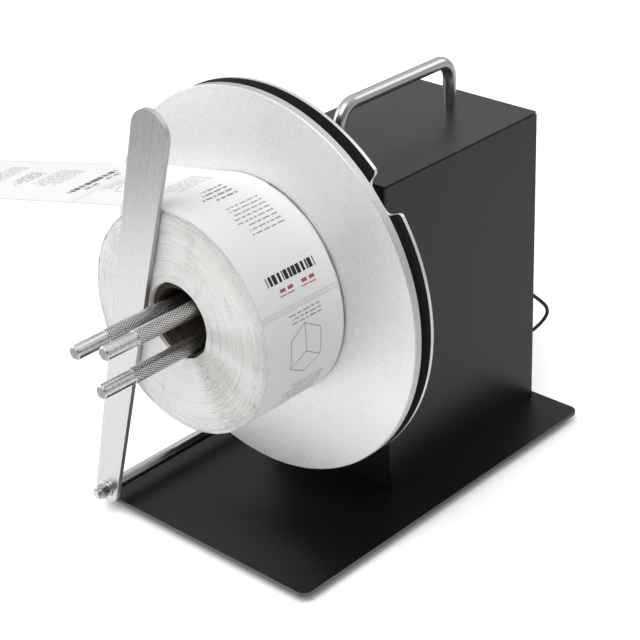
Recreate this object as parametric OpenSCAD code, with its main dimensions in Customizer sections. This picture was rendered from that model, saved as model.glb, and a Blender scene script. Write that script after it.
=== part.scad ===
// Label rewinder: a motor housing on a base plate turns a slotted disc.
// Three posts on the disc clamp the core of a label roll, and an arm beside
// the roll swings on the end of a rod to keep the web from running off.

/* [Base plate] */
// Width of the base plate, left to right
base_w = 175; // [170:1:210]
// Length of the base plate, front to back
base_d = 270; // [255:1:320]
// Thickness of the base plate
base_t = 2.5; // [2:0.5:4]
// Corner radius of the base plate
base_corner_r = 6; // [3:1:12]
// Diameter of a rubber foot
foot_d = 16; // [13:1:20]
// Height of a rubber foot
foot_h = 5; // [4:0.5:8]
// Distance from the plate's edges to the middle of a foot
foot_inset = 16; // [13:1:24]

/* [Housing] */
// Width of the motor housing
box_w = 105; // [98:1:112]
// Depth of the motor housing, front to back
box_d = 147.5; // [144:0.5:165]
// Height of the motor housing above the base plate
box_h = 206.4; // [196:0.1:230]
// Thickness of the folded sheet
sheet_t = 1.5; // [1:0.25:2]
// Outer radius of the folded front corners
fold_r = 2.5; // [2.25:0.25:5]
// Distance from the back of the housing to the back edge of the base
rear_margin = 5.5; // [3:0.5:12]
// Shadow gap between the top cover and the walls
cover_gap = 0.8; // [0.4:0.1:1.5]
// Thickness of the top cover's sheet
cover_t = 0.8; // [0.6:0.1:1.5]
// Depth of the lips folded down from the top cover
cover_lip_h = 12; // [8:1:18]
// Width of the flanges folded inwards from the walls
flange_w = 12; // [10:1:16]

/* [Handle] */
// Distance between the legs of the carrying handle
handle_span = 103.5; // [80:0.5:110]
// Height of the handle's bar above the housing, at its middle
handle_rise = 29.7; // [26:0.1:45]
// Diameter of the handle's rod
handle_rod_d = 8.5; // [7:0.5:10]
// Bend radius of the handle's rod, at its middle
handle_bend_r = 12; // [9:0.5:16]

/* [Winding head] */
// Gap between the rim of the front disc and the base plate
disc_clear = 29.05; // [25:0.05:35]
// Diameter of the front disc
disc_d = 241.5; // [220:0.5:250]
// Thickness of the front disc
disc_t = 5; // [4:0.1:8]
// Chamfer on the front edge of the front disc
disc_chamfer = 0.5; // [0.2:0.1:1]
// Gap between the front disc and the cam disc
disc_gap = 8.2; // [6.5:0.1:10]
// Diameter of the cam disc
cam_d = 241.5; // [220:0.5:250]
// Thickness of the cam disc
cam_t = 2.4; // [2:0.1:4]
// Distance from the housing to the back of the cam disc
cam_standoff = 38.6; // [36:0.1:50]
// Width of a finger notch at the rim of the cam disc
notch_w = 26; // [20:1:36]
// Width of a finger notch at its floor
notch_floor_w = 22; // [14:1:26]
// Depth of a finger notch
notch_depth = 11; // [8:0.5:14]
// Distance over which the corners at the rim of a finger notch are rounded
notch_lip = 3; // [1:0.5:4]
// Distance over which the corners at the floor of a finger notch are rounded
notch_fillet = 5; // [2:0.5:6]
// Angle of the first finger notch, seen from the front
notch_angle = 40.4; // [30:0.1:60]

/* [Core clamp] */
// Diameter of the knurled part of a post
post_d = 9.5; // [9:0.25:11]
// Diameter of the plain tip of a post
post_tip_d = 8.6; // [7:0.1:8.8]
// Length of the plain tip of a post
post_tip_len = 22.5; // [15:0.5:30]
// Distance that the posts stand out of the front disc
post_reach = 129.4; // [110:0.1:150]
// Distance from the spindle's axis to a post as clamped
post_r = 15.25; // [14.5:0.25:18]
// Smallest distance from the axis that a post can reach
post_r_min = 12.5; // [12.5:0.1:13.5]
// Largest distance from the axis that a post can reach
post_r_max = 54; // [40:1:58]
// Angle of the first post, seen from the front
post_phase = 168; // [160:1:175]
// Change of a post's distance from the axis for one radian of the cam disc
spiral_rise = 8; // [7:0.25:10]
// Diameter of the follower pin that runs in a spiral slot
cam_pin_d = 6; // [5:0.25:6.5]
// Width of a slider's shank in its radial slot
shank_w = 8; // [7:0.25:8.25]
// Thickness of a slider's foot behind the front disc
slider_t = 4; // [3:0.25:5]

/* [Spindle] */
// Diameter of the shaft in its bearings
shaft_d = 15; // [14.5:0.5:17]
// Diameter of the shaft where the cam disc turns on it
cam_seat_d = 14; // [12:0.5:14]
// Diameter of the spigot that carries the front disc
spigot_d = 10; // [9:0.5:11]
// Outer diameter of a ball bearing
bearing_d = 32; // [28:1:36]
// Width of a ball bearing
bearing_w = 9; // [7:0.5:10]
// Distance between the two ball bearings
bearing_spacing = 12; // [8:0.5:14]
// Outer diameter of the bearing housing's barrel
barrel_d = 44; // [42:1:46]
// Outer diameter of the bearing housing's flange
bearing_flange_d = 62; // [60:1:68]
// Thickness of the bearing housing's flange
bearing_flange_t = 6; // [5:0.5:8]
// Length of the boss of the cam disc's hub
cam_boss_len = 12.6; // [10:0.1:14]
// Length of the collar behind the cam disc's hub
collar_len = 8; // [6:0.5:9]

/* [Drive] */
// Diameter of the shaft coupling
coupling_d = 26; // [24:1:30]
// Length of the shaft coupling
coupling_len = 28; // [24:0.5:30]
// Diameter of the gearbox
gearbox_d = 42; // [38:1:46]
// Length of the gearbox
gearbox_len = 30; // [24:1:32]
// Diameter of the motor
motor_d = 36; // [30:1:37]
// Gap between the motor's end cap and the switches behind it
motor_room = 1.5; // [1:0.5:10]
// Diameter of the gearbox's output shaft
output_d = 8; // [6:0.5:9]
// Side of the square plate that carries the gearbox
motor_plate_w = 72; // [70:1:80]
// Distance between the spacers that carry the motor plate
spacer_pitch = 56; // [54:1:60]

/* [Label roll] */
// Outer diameter of the label roll
roll_d = 137.5; // [90:0.5:200]
// Width of the label web
roll_w = 64.7; // [40:0.1:75]
// Gap between the front disc and the paper
roll_gap = 0.4; // [0.3:0.1:4]
// Distance that the core's end lies behind the roll's front face
core_recess = 3.6; // [2:0.1:6]
// Wall of the cardboard core
core_wall = 3.5; // [2:0.25:5]
// Thickness of the label web
web_t = 0.25; // [0.2:0.05:0.5]
// Length of web shown on its way to the roll
web_len = 236; // [100:1:260]
// Slope of the web on its way to the roll
web_slope = 13.4; // [0:0.1:20]

/* [Guide arm] */
// Length of the arm from its pivot to the middle of its round top
arm_len = 264; // [220:1:280]
// Radius of the arm's round top
arm_top_r = 14.3; // [11:0.1:16]
// Radius of the arm's round foot
arm_foot_r = 9.15; // [8:0.05:9.3]
// Thickness of the arm
arm_t = 3; // [2:0.25:4]
// Lean of the arm towards the roll
arm_lean = 15; // [5:0.5:15]
// Gap between the arm and the roll
arm_gap = 0.7; // [0.4:0.1:3]
// Diameter of the guide rod
rod_d = 8; // [7:0.5:10]
// Distance from the base's left edge to the guide rod
rod_inset = 12.2; // [11.5:0.1:16]
// Height of the guide rod's axis above the base plate
rod_lift = 9.4; // [9.4:0.1:14]
// Diameter of the threaded stud that the arm turns on
stud_d = 5; // [4:0.5:6]
// Width of the block that holds the guide rod
block_w = 20; // [18:1:22]
// Length of the block that holds the guide rod
block_len = 30; // [24:1:40]

/* [Controls] */
// Height of the speed knob and direction switch above the base plate
upper_row = 150; // [120:1:170]
// Height of the power switch above the base plate
lower_row = 72; // [60:1:90]
// Distance from the middle of the rear panel to the controls
control_x = 22; // [18:0.5:26]
// Diameter of the speed knob
knob_d = 22; // [18:0.5:26]
// Height of the speed knob
knob_h = 14; // [11:0.5:18]
// Radius that the ends of a rocker sweep
rocker_r = 9.6; // [8.5:0.1:11]
// Width of a rocker
rocker_w = 12; // [10:0.5:14]
// Tilt of a rocker to each side
rocker_tilt = 9; // [6:0.5:11]

/* [Lead] */
// Diameter of the supply lead
cord_d = 2.5; // [2:0.1:2.5]
// Turns of the stored coil in each of its two layers
coil_turns = 5; // [3:1:6]
// Step from one turn of the coil to the next, across and up
coil_pitch = 3; // [3:0.1:3.4]
// Radius of the coil's innermost turn
coil_inner_r = 7.5; // [6.5:0.5:9]
// Thickness of the strap round the coil
tie_t = 0.7; // [0.5:0.1:1]
// Width of the strap round the coil
tie_w = 5; // [3:0.5:8]

/* [Hidden] */
$fn = 64;
// Radial clearance of a pin in its hole
fit = 0.05;
// Gap between faces that move past each other
run_gap = 0.3;
// Gap between sheets that lie edge to edge
sheet_gap = 0.3;
// Sheet left above a blind hole in the base plate
blind_skin = 0.5;
// Overlap that makes a cut run clear of a face
cut = 1;
// Number of posts, slots and notches round the spindle
posts = 3;
post_step = 360 / posts;

box_front = base_d / 2 - rear_margin - box_d;
box_back = base_d / 2 - rear_margin;
box_mid = (box_front + box_back) / 2;
box_top = base_t + box_h;
wall_top = box_top - cover_t - cover_gap;
rail_top = box_top - cover_t - cover_lip_h;
cover_r = 1.5;
inner_x = box_w / 2 - sheet_t;

spindle_z = base_t + disc_clear + disc_d / 2;
cam_back = cam_standoff;
cam_front = cam_back + cam_t;
disc_back = cam_front + disc_gap;
disc_front = disc_back + disc_t;
roll_back = disc_front + roll_gap;
roll_front = roll_back + roll_w;
slot_w = shank_w + 2 * run_gap;
shank_flat = 1;
shank_len = shank_w + shank_flat;
foot_ledge = 3;
foot_w = shank_w + 2 * foot_ledge;
post_pin_d = 5;
post_pin_len = disc_t + 2 * run_gap + slider_t / 2;
pin_hole_spare = 0.5;
post_bevel = 1;
post_neck = 0.5;
core_in_r = post_r + post_d / 2 + run_gap;
core_out_r = core_in_r + core_wall;
cam_screw_r = post_r + spiral_rise * PI / 3;
cam_hub_margin = 5.5;
cam_hub_d = 2 * (cam_screw_r + cam_hub_margin);
cam_hub_t = 4;
cam_boss_d = 30;
collar_front = cam_back - cam_hub_t - cam_boss_len - run_gap;
collar_d = 28;
collar_screw_d = 3;

lip_t = 3;
bearing_1_front = lip_t;
bearing_2_front = lip_t - bearing_w - bearing_spacing;
barrel_spare = 1;
barrel_end = bearing_2_front - bearing_w - barrel_spare;
bearing_step = 2.5;
lip_clear = 2;
shield_depth = 0.6;
shaft_stand = 5;
shaft_step = bearing_flange_t + shaft_stand;
coupling_gap = 4;
coupling_front = barrel_end - coupling_gap;
shaft_gap = 2;
shaft_end = coupling_front - (coupling_len - shaft_gap) / 2;
output_front = shaft_end - shaft_gap;
plate_gap = 3;
plate_front = coupling_front - coupling_len - plate_gap;
motor_plate_t = 3;
motor_plate_r = 4;
gearbox_front = plate_front - motor_plate_t;
motor_front = gearbox_front - gearbox_len;
boss_d = 20;
boss_short = 0.5;
output_floor = 3;
output_play = 1;
spacer_d = 8;
spacer_hole = 10;
spacer_bite = 8;
gearbox_rim = 5.5;
gearbox_pcd = gearbox_d - 2 * gearbox_rim;
gearbox_hole = 7;
gearbox_bite = 6;
motor_cap_t = 6;
motor_cap_step = 2;
motor_boss_t = 2;
motor_boss_d = 12;
motor_tab = [3, 0.8];
motor_tab_x = 10.3;

// Metric screws: shank diameter, head diameter, head height
m3 = [3, 5.5, 2];
m4 = [4, 7.5, 2.4];
m6 = [6, 10, 3.6];
m3_hole = m3[0] + 2 * fit;
m4_hole = m4[0] + 2 * fit;
m6_hole = m6[0] + 2 * fit;
hex_share = 0.55;
disc_washer_t = 1.2;
disc_screw_bite = 14;
shaft_tapped = 16;
spigot_short = 0.2;
tip_clear = 0.3;

foot_x = base_w / 2 - foot_inset;
foot_y = base_d / 2 - foot_inset;
wall_screw_x = inner_x - flange_w / 2;
wall_screw_inset = 25;
wall_screw_y = [box_front + wall_screw_inset, box_back - wall_screw_inset];
panel_screw_rise = [20, 105, 180];
panel_screw_z = [for (h = panel_screw_rise) base_t + h];
foot_taper = 1;
foot_recess_gap = 0.5;
foot_head_sink = 0.4;
screw_spare = 0.1;
screw_end = 2;
bearing_screw_end = 3;
handle_hole = 12;
handle_bite = 10;

rod_x = -base_w / 2 + rod_inset;
rod_z = base_t + rod_lift;
arm_back = box_front - roll_front - arm_gap;
arm_front = arm_back - arm_t;
washer_t = 1;
washer_rim = 3;
nut_t = 4.6;
nut_across = 8 * stud_d / 5;
nut_collar_t = 1.4;
nut_collar_d = 7.4 * stud_d / 5;
stud_end = 1.8;
block_setback = 30;
block_front = box_front + block_setback;
block_screw_pitch = 16;
block_hole = 4;
block_bite = 3.5;

board_w = 60;
board_d = 70;
board_t = 1.6;
board_lift = 8;
board_shift = 10;
board_y = box_mid + board_shift;
board_hole_inset = 4;
standoff_d = 6;
standoff_end = 2;
// Parts on the board: capacitors, heat sink and terminal block, placed from the board's middle
capacitor_d = 10;
capacitor_h = 18;
capacitor_x = [-14, 2];
capacitor_y = -16;
heat_sink = [32, 6, 22];
heat_sink_at = [-22, 4];
terminals = [40, 9, 11];
terminals_at = [-20, 20];

rocker_depth = 4;
bezel_t = 2;
bezel_lip = 2;
switch_depth = 14;
switch_floor = 2;
bezel_rim = 1.5;
rocker_pin_d = 2.4;
motor_len = box_d - switch_depth - motor_room + motor_boss_t + motor_front;
pot_d = 17;
pot_len = 10;
bushing_d = 7;
bushing_root = 1;
bushing_end = 1;
pot_nut_t = 2;
pot_nut_rim = 2;
pot_floor = 2;
pot_shaft_play = 1;
knob_shaft_d = 6;
knob_gap = 1;
knob_base = pot_nut_t + bushing_end + knob_gap;
knob_skirt = 3;
knob_step = 2;
knob_top = 3;
knob_relief = 0.5;
knob_relief_h = 2;
flutes = 16;
flute_d = 2;
pointer = [1, 0.8];
pointer_start = 2;
// Angle from straight down to the knob's pointer at its lowest speed
knob_rest = 45;

grommet_x = 30;
grommet_z = 74;
grommet_len = 8;
grommet_neck_r = 3;
grommet_lip_r = 4;
grommet_lip_t = 2;
grommet_flange_r = 4.5;
grommet_flange_t = 2;
grommet_slope = 1;
grommet_tip_r = 2.2;
grommet_cut_z = [4, 5.6];
grommet_cut_w = 0.7;
grommet_cut_r = 2.1;
floor_z = -foot_h;
tie_gap = 0.3;
tie_corner = 0.8;
coil_z = floor_z + tie_t + tie_gap + cord_d / 2;
coil_x = -25;
coil_entry_y = 165;
coil_outer_r = coil_inner_r + coil_turns * coil_pitch;
coil_y = coil_entry_y + coil_outer_r;
coil_lead_in = cord_d;
coil_lead_out = 18;
connector_z = coil_z + coil_pitch;
connector_r = connector_z - floor_z;
connector_len = 34;
connector_relief = 12;
connector_neck = 0.8;
connector_step = 1.2;
connector_edge = 1;
connector_bore = [6.4, 2.2, 10];

// Route of the lead from the grommet to the start of its coil
lead_route = [
    [30, 137.5, 74], [30, 141.5, 74], [31.2, 146, 71.8], [33.8, 150, 67.5], [36, 153.5, 63.5],
    [38.8, 157, 59.3], [40.8, 160, 54.9], [40.7, 162, 50.1], [38.7, 163, 45.2], [35.2, 163.5, 39.7],
    [31.3, 164, 34.8], [27.4, 164.3, 30.4], [22, 164.6, 24.6], [16, 165, 18.2], [10, 165, 12],
    [4, 165, 6.6], [-2.5, 165, 2], [-9, 165, -1], [-15.5, 165, -2.5],
    [coil_x + coil_lead_in, coil_entry_y, coil_z]
];
// A direction that the route is never parallel to
lead_side = [1, -1, -1];
lead_sides = 8;
coil_sides = 6;
coil_rings = 24;

// The part's origin is the middle of its outline, on the floor
web_left = web_len * cos(web_slope) + (roll_d / 2 + run_gap + web_t) * sin(web_slope);
disc_right = max(cam_d, disc_d) / 2;
posts_ahead = disc_front + post_reach - box_front;
knob_behind = box_back + knob_base + knob_h;
datum = [(web_left - disc_right) / 2, (posts_ahead - knob_behind) / 2, foot_h];

// Frames that the pieces are built in

// Moves the machine, built round the middle of its base plate, to the part's origin
module at_datum() {
    translate(datum) children();
}

// Puts children on the spindle: z counts forwards from the housing's front
module on_spindle(z = 0) {
    translate([0, box_front - z, spindle_z]) rotate([90, 0, 0]) children();
}

// Puts children on the rear panel: z counts backwards from its outer face
module on_rear(x, height) {
    translate([x, box_back, base_t + height]) rotate([-90, 0, 0]) children();
}

// Puts children on the pivot of the guide arm: z counts forwards
module on_pivot(y) {
    translate([rod_x, y, rod_z]) rotate([90, 0, 0]) children();
}

function post_angle(k) = post_phase - post_step * (k - 1);

// Shared shapes

module round_rect(w, d, r) {
    square([w - 2 * r, d], center = true);
    square([w, d - 2 * r], center = true);
    for (x = [-1, 1], y = [-1, 1])
        translate([x * (w / 2 - r), y * (d / 2 - r)]) circle(r);
}

// A slot outline with round ends, from x1 to x2 between the end centres
module stadium(x1, x2, w) {
    translate([x1, -w / 2]) square([x2 - x1, w]);
    translate([x1, 0]) circle(d = w);
    translate([x2, 0]) circle(d = w);
}

// A plan with rounded front corners: y runs from 0 at the front to d
module folded_plan(w, d, r) {
    translate([-w / 2, r]) square([w, d - r]);
    translate([-w / 2 + r, 0]) square([w - 2 * r, 2 * r]);
    for (x = [-1, 1]) translate([x * (w / 2 - r), r]) circle(r);
}

// A hollow round bar along z
module ring(d_out, d_in, h) {
    difference() {
        cylinder(d = d_out, h = h);
        translate([0, 0, -cut]) cylinder(d = d_in, h = h + 2 * cut);
    }
}

// A pan-head screw whose head stands on z = 0 and whose shank points down
module pan_screw(size, len) {
    translate([0, 0, -len]) cylinder(d = size[0], h = len + size[2] / 2);
    difference() {
        cylinder(d = size[1], h = size[2]);
        translate([0, 0, size[2] / 2]) cylinder(d = size[0] * hex_share, h = size[2], $fn = 6);
    }
}

// Points of one ring of a tube: centre, unit tangent and a side direction
function unit(v) = v / norm(v);
function tube_ring(centre, tangent, side, r, sides) =
    let (a = unit(cross(tangent, side)), b = cross(a, tangent))
    [for (i = [0:sides - 1]) centre + r * (cos(360 * i / sides) * a + sin(360 * i / sides) * b)];
function path_tangent(path, i) =
    unit(path[min(i + 1, len(path) - 1)] - path[max(i - 1, 0)]);

// A closed tube swept along a path
module tube(path, r, side, sides) {
    n = len(path);
    points = [for (i = [0:n - 1]) each tube_ring(path[i], path_tangent(path, i), side, r, sides)];
    walls = [for (i = [0:n - 2], j = [0:sides - 1])
        let (a = i * sides + j, b = i * sides + (j + 1) % sides)
        each [[a, a + sides, b], [b, a + sides, b + sides]]];
    first = [for (j = [1:sides - 2]) [0, j, j + 1]];
    last = [for (j = [1:sides - 2]) [(n - 1) * sides, (n - 1) * sides + j + 1, (n - 1) * sides + j]];
    polyhedron(points, concat(walls, first, last), convexity = 10);
}

// Base

module base_plate() {
    color("#242424")
    difference() {
        linear_extrude(base_t) round_rect(base_w, base_d, base_corner_r);
        for (x = [-1, 1], y = [-1, 1])
            translate([x * foot_x, y * foot_y, -cut]) cylinder(d = m4_hole, h = base_t - blind_skin + cut);
        for (x = [-1, 1], y = wall_screw_y)
            translate([x * wall_screw_x, y, -cut]) cylinder(d = m4_hole, h = base_t + 2 * cut);
        for (k = [-0.5, 0.5])
            translate([rod_x, block_front + block_len / 2 + k * block_screw_pitch, -cut])
                cylinder(d = m4_hole, h = base_t + 2 * cut);
    }
}

module rubber_feet() {
    color("#1c1c1c")
    for (x = [-1, 1], y = [-1, 1]) translate([x * foot_x, y * foot_y, -foot_h])
        difference() {
            cylinder(d1 = foot_d - 2 * foot_taper, d2 = foot_d, h = foot_h);
            translate([0, 0, -cut]) cylinder(d = m4[1] + 2 * foot_recess_gap, h = foot_h / 2 + cut);
            cylinder(d = m4_hole, h = foot_h + cut);
        }
}

module foot_screws() {
    color("#9a9a9a")
    for (x = [-1, 1], y = [-1, 1]) translate([x * foot_x, y * foot_y, -foot_h / 2])
        mirror([0, 0, 1]) pan_screw(
            [m4[0], m4[1], foot_h / 2 - foot_head_sink], foot_h / 2 + base_t - blind_skin - screw_spare
        );
}

// Housing

// Front wall and both sides, folded from one sheet, with flanges and rails
module housing_shell() {
    strip_end = box_d - 2 * sheet_t;
    rail_h = rail_top - base_t;
    color("#2a2a2a")
    difference() {
        translate([0, box_front, base_t]) union() {
            linear_extrude(wall_top - base_t) difference() {
                folded_plan(box_w, box_d, fold_r);
                translate([0, sheet_t])
                    folded_plan(box_w - 2 * sheet_t, box_d, fold_r - sheet_t);
            }
            for (x = [-1, 1]) {
                shell_strip(x, sheet_t + fold_r, strip_end, flange_w, 0, sheet_t);
                shell_strip(x, sheet_t + fold_r, strip_end, flange_w, rail_h - sheet_t, sheet_t);
                shell_strip(x, strip_end, box_d - sheet_t, flange_w, 0, rail_h);
            }
        }
        on_spindle(-sheet_t - cut) cylinder(d = barrel_d + 2 * sheet_gap, h = sheet_t + 2 * cut);
        bearing_screw_places() translate([0, 0, -cut - sheet_t])
            cylinder(d = m4_hole, h = sheet_t + 2 * cut);
        spacer_places() translate([0, 0, -cut - sheet_t])
            cylinder(d = m4_hole, h = sheet_t + 2 * cut);
        for (x = [-1, 1], y = wall_screw_y)
            translate([x * wall_screw_x, y, base_t - cut]) cylinder(d = m4_hole, h = sheet_t + 2 * cut);
        panel_screw_places() translate([0, 0, -2 * sheet_t - cut])
            cylinder(d = m3_hole, h = 2 * sheet_t + 2 * cut);
    }
}

// A strip along one side wall, from y1 to y2, that reaches inwards
module shell_strip(side, y1, y2, reach, z, h) {
    x_out = inner_x + sheet_t / 2;
    x_in = inner_x - reach;
    translate([side > 0 ? x_in : -x_out, y1, z]) cube([x_out - x_in, y2 - y1, h]);
}

module shell_screws() {
    color("#9a9a9a")
    for (x = [-1, 1], y = wall_screw_y) translate([x * wall_screw_x, y, 0])
        mirror([0, 0, 1]) pan_screw(m4, base_t + sheet_t + screw_end);
}

module top_cover() {
    lip_x = inner_x - sheet_gap - cover_t;
    lip_y = fold_r + 2 * sheet_t;
    color("#2a2a2a")
    difference() {
        union() {
            translate([0, box_mid, box_top - cover_t])
                linear_extrude(cover_t) round_rect(box_w, box_d, cover_r);
            for (x = [-lip_x - cover_t, lip_x])
                translate([x, box_front + lip_y, rail_top])
                    cube([cover_t, box_d - 2 * lip_y, cover_lip_h + cover_t / 2]);
        }
        for (y = [-0.5, 0.5]) translate([0, box_mid + y * handle_span, box_top - cover_t - cut])
            cylinder(d = m4_hole, h = cover_t + 2 * cut);
    }
}

module rear_panel() {
    w = 2 * (inner_x - sheet_gap);
    z1 = base_t + sheet_gap;
    color("#2a2a2a")
    difference() {
        translate([-w / 2, box_back - sheet_t, z1]) cube([w, sheet_t, wall_top - z1]);
        panel_screw_places() translate([0, 0, -sheet_t - cut])
            cylinder(d = m3_hole, h = sheet_t + 2 * cut);
        for (place = [[-control_x, lower_row], [control_x, upper_row]])
            on_rear(place[0], place[1]) translate([0, 0, -sheet_t / 2])
                cube([rocker_w + 2 * bezel_lip, 2 * (rocker_r + bezel_lip), 2 * sheet_t], center = true);
        on_rear(-control_x, upper_row) translate([0, 0, -sheet_t - cut])
            cylinder(d = bushing_d + 2 * fit, h = sheet_t + 2 * cut);
        translate([grommet_x, box_back - sheet_t - cut, grommet_z]) rotate([-90, 0, 0])
            cylinder(r = grommet_neck_r + fit, h = sheet_t + 2 * cut);
    }
}

module panel_screw_places() {
    for (x = [-1, 1], z = panel_screw_z)
        translate([x * wall_screw_x, box_back, z]) rotate([-90, 0, 0]) children();
}

module panel_screws() {
    color("#222222")
    panel_screw_places() pan_screw(m3, 2 * sheet_t + screw_end);
}

// A bent rod: two legs, two bends and a bar between them
module handle() {
    bar_z = handle_rise - handle_bend_r;
    half = handle_span / 2;
    color("#c9c9c6")
    translate([0, box_mid, box_top]) difference() {
        union() {
            for (y = [-1, 1]) translate([0, y * half, 0]) cylinder(d = handle_rod_d, h = bar_z);
            for (y = [-1, 1]) translate([0, y * (half - handle_bend_r), bar_z])
                rotate([90, 0, y * 90]) rotate_extrude(angle = 90)
                    translate([handle_bend_r, 0]) circle(d = handle_rod_d);
            translate([0, -half + handle_bend_r, handle_rise]) rotate([-90, 0, 0])
                cylinder(d = handle_rod_d, h = handle_span - 2 * handle_bend_r);
        }
        for (y = [-1, 1]) translate([0, y * half, -cut])
            cylinder(d = m4_hole, h = handle_hole + cut);
    }
}

module handle_screws() {
    color("#9a9a9a")
    for (y = [-0.5, 0.5]) translate([0, box_mid + y * handle_span, box_top - cover_t])
        mirror([0, 0, 1]) pan_screw(m4, cover_t + handle_bite);
}

// Bearings and drive

module bearing_screw_places() {
    for (i = [0:3]) on_spindle(0) rotate(45 + 90 * i)
        translate([(barrel_d + bearing_flange_d) / 4, 0, 0]) children();
}

module bearing_housing() {
    bore_r = bearing_d / 2 + fit;
    stop_r = bearing_d / 2 - bearing_step;
    lip_r = shaft_d / 2 + lip_clear;
    color("#b9bbbd")
    difference() {
        on_spindle(0) rotate_extrude() polygon([
            [bore_r, barrel_end], [barrel_d / 2, barrel_end], [barrel_d / 2, 0],
            [bearing_flange_d / 2, 0], [bearing_flange_d / 2, bearing_flange_t],
            [lip_r, bearing_flange_t], [lip_r, bearing_1_front], [bore_r, bearing_1_front],
            [bore_r, bearing_1_front - bearing_w], [stop_r, bearing_1_front - bearing_w],
            [stop_r, bearing_2_front], [bore_r, bearing_2_front]
        ]);
        bearing_screw_places() translate([0, 0, -cut])
            cylinder(d = m4_hole, h = bearing_flange_t + 2 * cut);
    }
}

module bearing_screws() {
    color("#9a9a9a")
    bearing_screw_places() translate([0, 0, bearing_flange_t])
        pan_screw(m4, bearing_flange_t + sheet_t + bearing_screw_end);
}

// A ball bearing as inner race, outer race and shield
module bearing(front) {
    race = (bearing_d - shaft_d) / 6;
    color("#a9adb0")
    on_spindle(front) mirror([0, 0, 1]) {
        difference() {
            ring(bearing_d, shaft_d + 2 * fit, bearing_w);
            for (z = [-cut, bearing_w - shield_depth]) translate([0, 0, z])
                ring(bearing_d - 2 * race, shaft_d + 2 * race, cut + shield_depth);
        }
    }
}

module bearing_front() bearing(bearing_1_front);
module bearing_rear() bearing(bearing_2_front);

module spacer_places() {
    for (x = [-0.5, 0.5], y = [-0.5, 0.5])
        on_spindle(0) translate([x * spacer_pitch, y * spacer_pitch, 0]) children();
}

module motor_spacers() {
    len = -sheet_t - plate_front;
    color("#b5b7ba")
    spacer_places() translate([0, 0, plate_front]) difference() {
        cylinder(d = spacer_d, h = len);
        for (z = [-cut, len - spacer_hole]) translate([0, 0, z])
            cylinder(d = m4_hole, h = spacer_hole + cut);
    }
}

module spacer_screws() {
    color("#9a9a9a")
    spacer_places() {
        pan_screw(m4, sheet_t + spacer_bite);
        translate([0, 0, gearbox_front]) mirror([0, 0, 1]) pan_screw(m4, motor_plate_t + spacer_bite);
    }
}

module gearbox_screw_places() {
    for (i = [0:3]) on_spindle(plate_front) rotate(45 + 90 * i)
        translate([gearbox_pcd / 2, 0, 0]) children();
}

module motor_plate() {
    color("#8f9295")
    difference() {
        on_spindle(gearbox_front) linear_extrude(motor_plate_t)
            round_rect(motor_plate_w, motor_plate_w, motor_plate_r);
        on_spindle(gearbox_front - cut) cylinder(d = boss_d + 2 * fit, h = motor_plate_t + 2 * cut);
        spacer_places() translate([0, 0, gearbox_front - cut])
            cylinder(d = m4_hole, h = motor_plate_t + 2 * cut);
        gearbox_screw_places() translate([0, 0, -motor_plate_t - cut])
            cylinder(d = m3_hole, h = motor_plate_t + 2 * cut);
    }
}

module gearbox() {
    color("#7d8084")
    difference() {
        on_spindle(motor_front) {
            cylinder(d = gearbox_d, h = gearbox_len);
            cylinder(d = boss_d, h = gearbox_len + motor_plate_t - boss_short);
        }
        on_spindle(motor_front + output_floor)
            cylinder(d = output_d + 2 * fit, h = gearbox_len + motor_plate_t);
        gearbox_screw_places() translate([0, 0, -motor_plate_t - gearbox_hole])
            cylinder(d = m3_hole, h = gearbox_hole + cut);
    }
}

module gearbox_screws() {
    color("#9a9a9a")
    gearbox_screw_places() pan_screw(m3, motor_plate_t + gearbox_bite);
}

module motor() {
    can_len = motor_len - motor_cap_t;
    color("#3a3d40")
    on_spindle(motor_front) mirror([0, 0, 1]) {
        cylinder(d = motor_d, h = can_len);
        translate([0, 0, can_len])
            cylinder(d = motor_d - 2 * motor_cap_step, h = motor_cap_t - motor_boss_t);
        cylinder(d = motor_boss_d, h = motor_len);
        for (x = [-1, 1]) translate([x * motor_tab_x - motor_tab[0] / 2, -motor_tab[1] / 2, can_len])
            cube([motor_tab[0], motor_tab[1], motor_cap_t]);
    }
}

module board_places() {
    x_in = board_w / 2 - board_hole_inset;
    y_in = board_d / 2 - board_hole_inset;
    for (x = [-1, 1], y = [-1, 1])
        translate([x * x_in, board_y + y * y_in, base_t]) children();
}

module control_board() {
    root = board_t / 2;
    color("#2f6b46")
    translate([0, board_y, base_t + board_lift]) difference() {
        union() {
            translate([-board_w / 2, -board_d / 2, 0]) cube([board_w, board_d, board_t]);
            for (x = capacitor_x)
                translate([x, capacitor_y, root]) cylinder(d = capacitor_d, h = capacitor_h);
            translate([heat_sink_at[0], heat_sink_at[1], root]) cube(heat_sink);
            translate([terminals_at[0], terminals_at[1], root]) cube(terminals);
        }
        translate([0, -board_y, -base_t - board_lift])
            board_places() cylinder(d = m3_hole, h = board_lift + board_t + cut);
    }
}

module board_standoffs() {
    color("#c4b46a")
    board_places() {
        cylinder(d = standoff_d, h = board_lift);
        cylinder(d = m3[0], h = board_lift + board_t + standoff_end);
    }
}

// Guide arm and its rod

module guide_rod() {
    back = block_front + block_len;
    shoulder = arm_back + run_gap;
    stud_len = run_gap + arm_t + run_gap + washer_t + nut_t + nut_collar_t + stud_end;
    color("#cfd1d2")
    on_pivot(back) {
        cylinder(d = rod_d, h = back - shoulder);
        cylinder(d = stud_d, h = back - shoulder + stud_len);
    }
}

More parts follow.
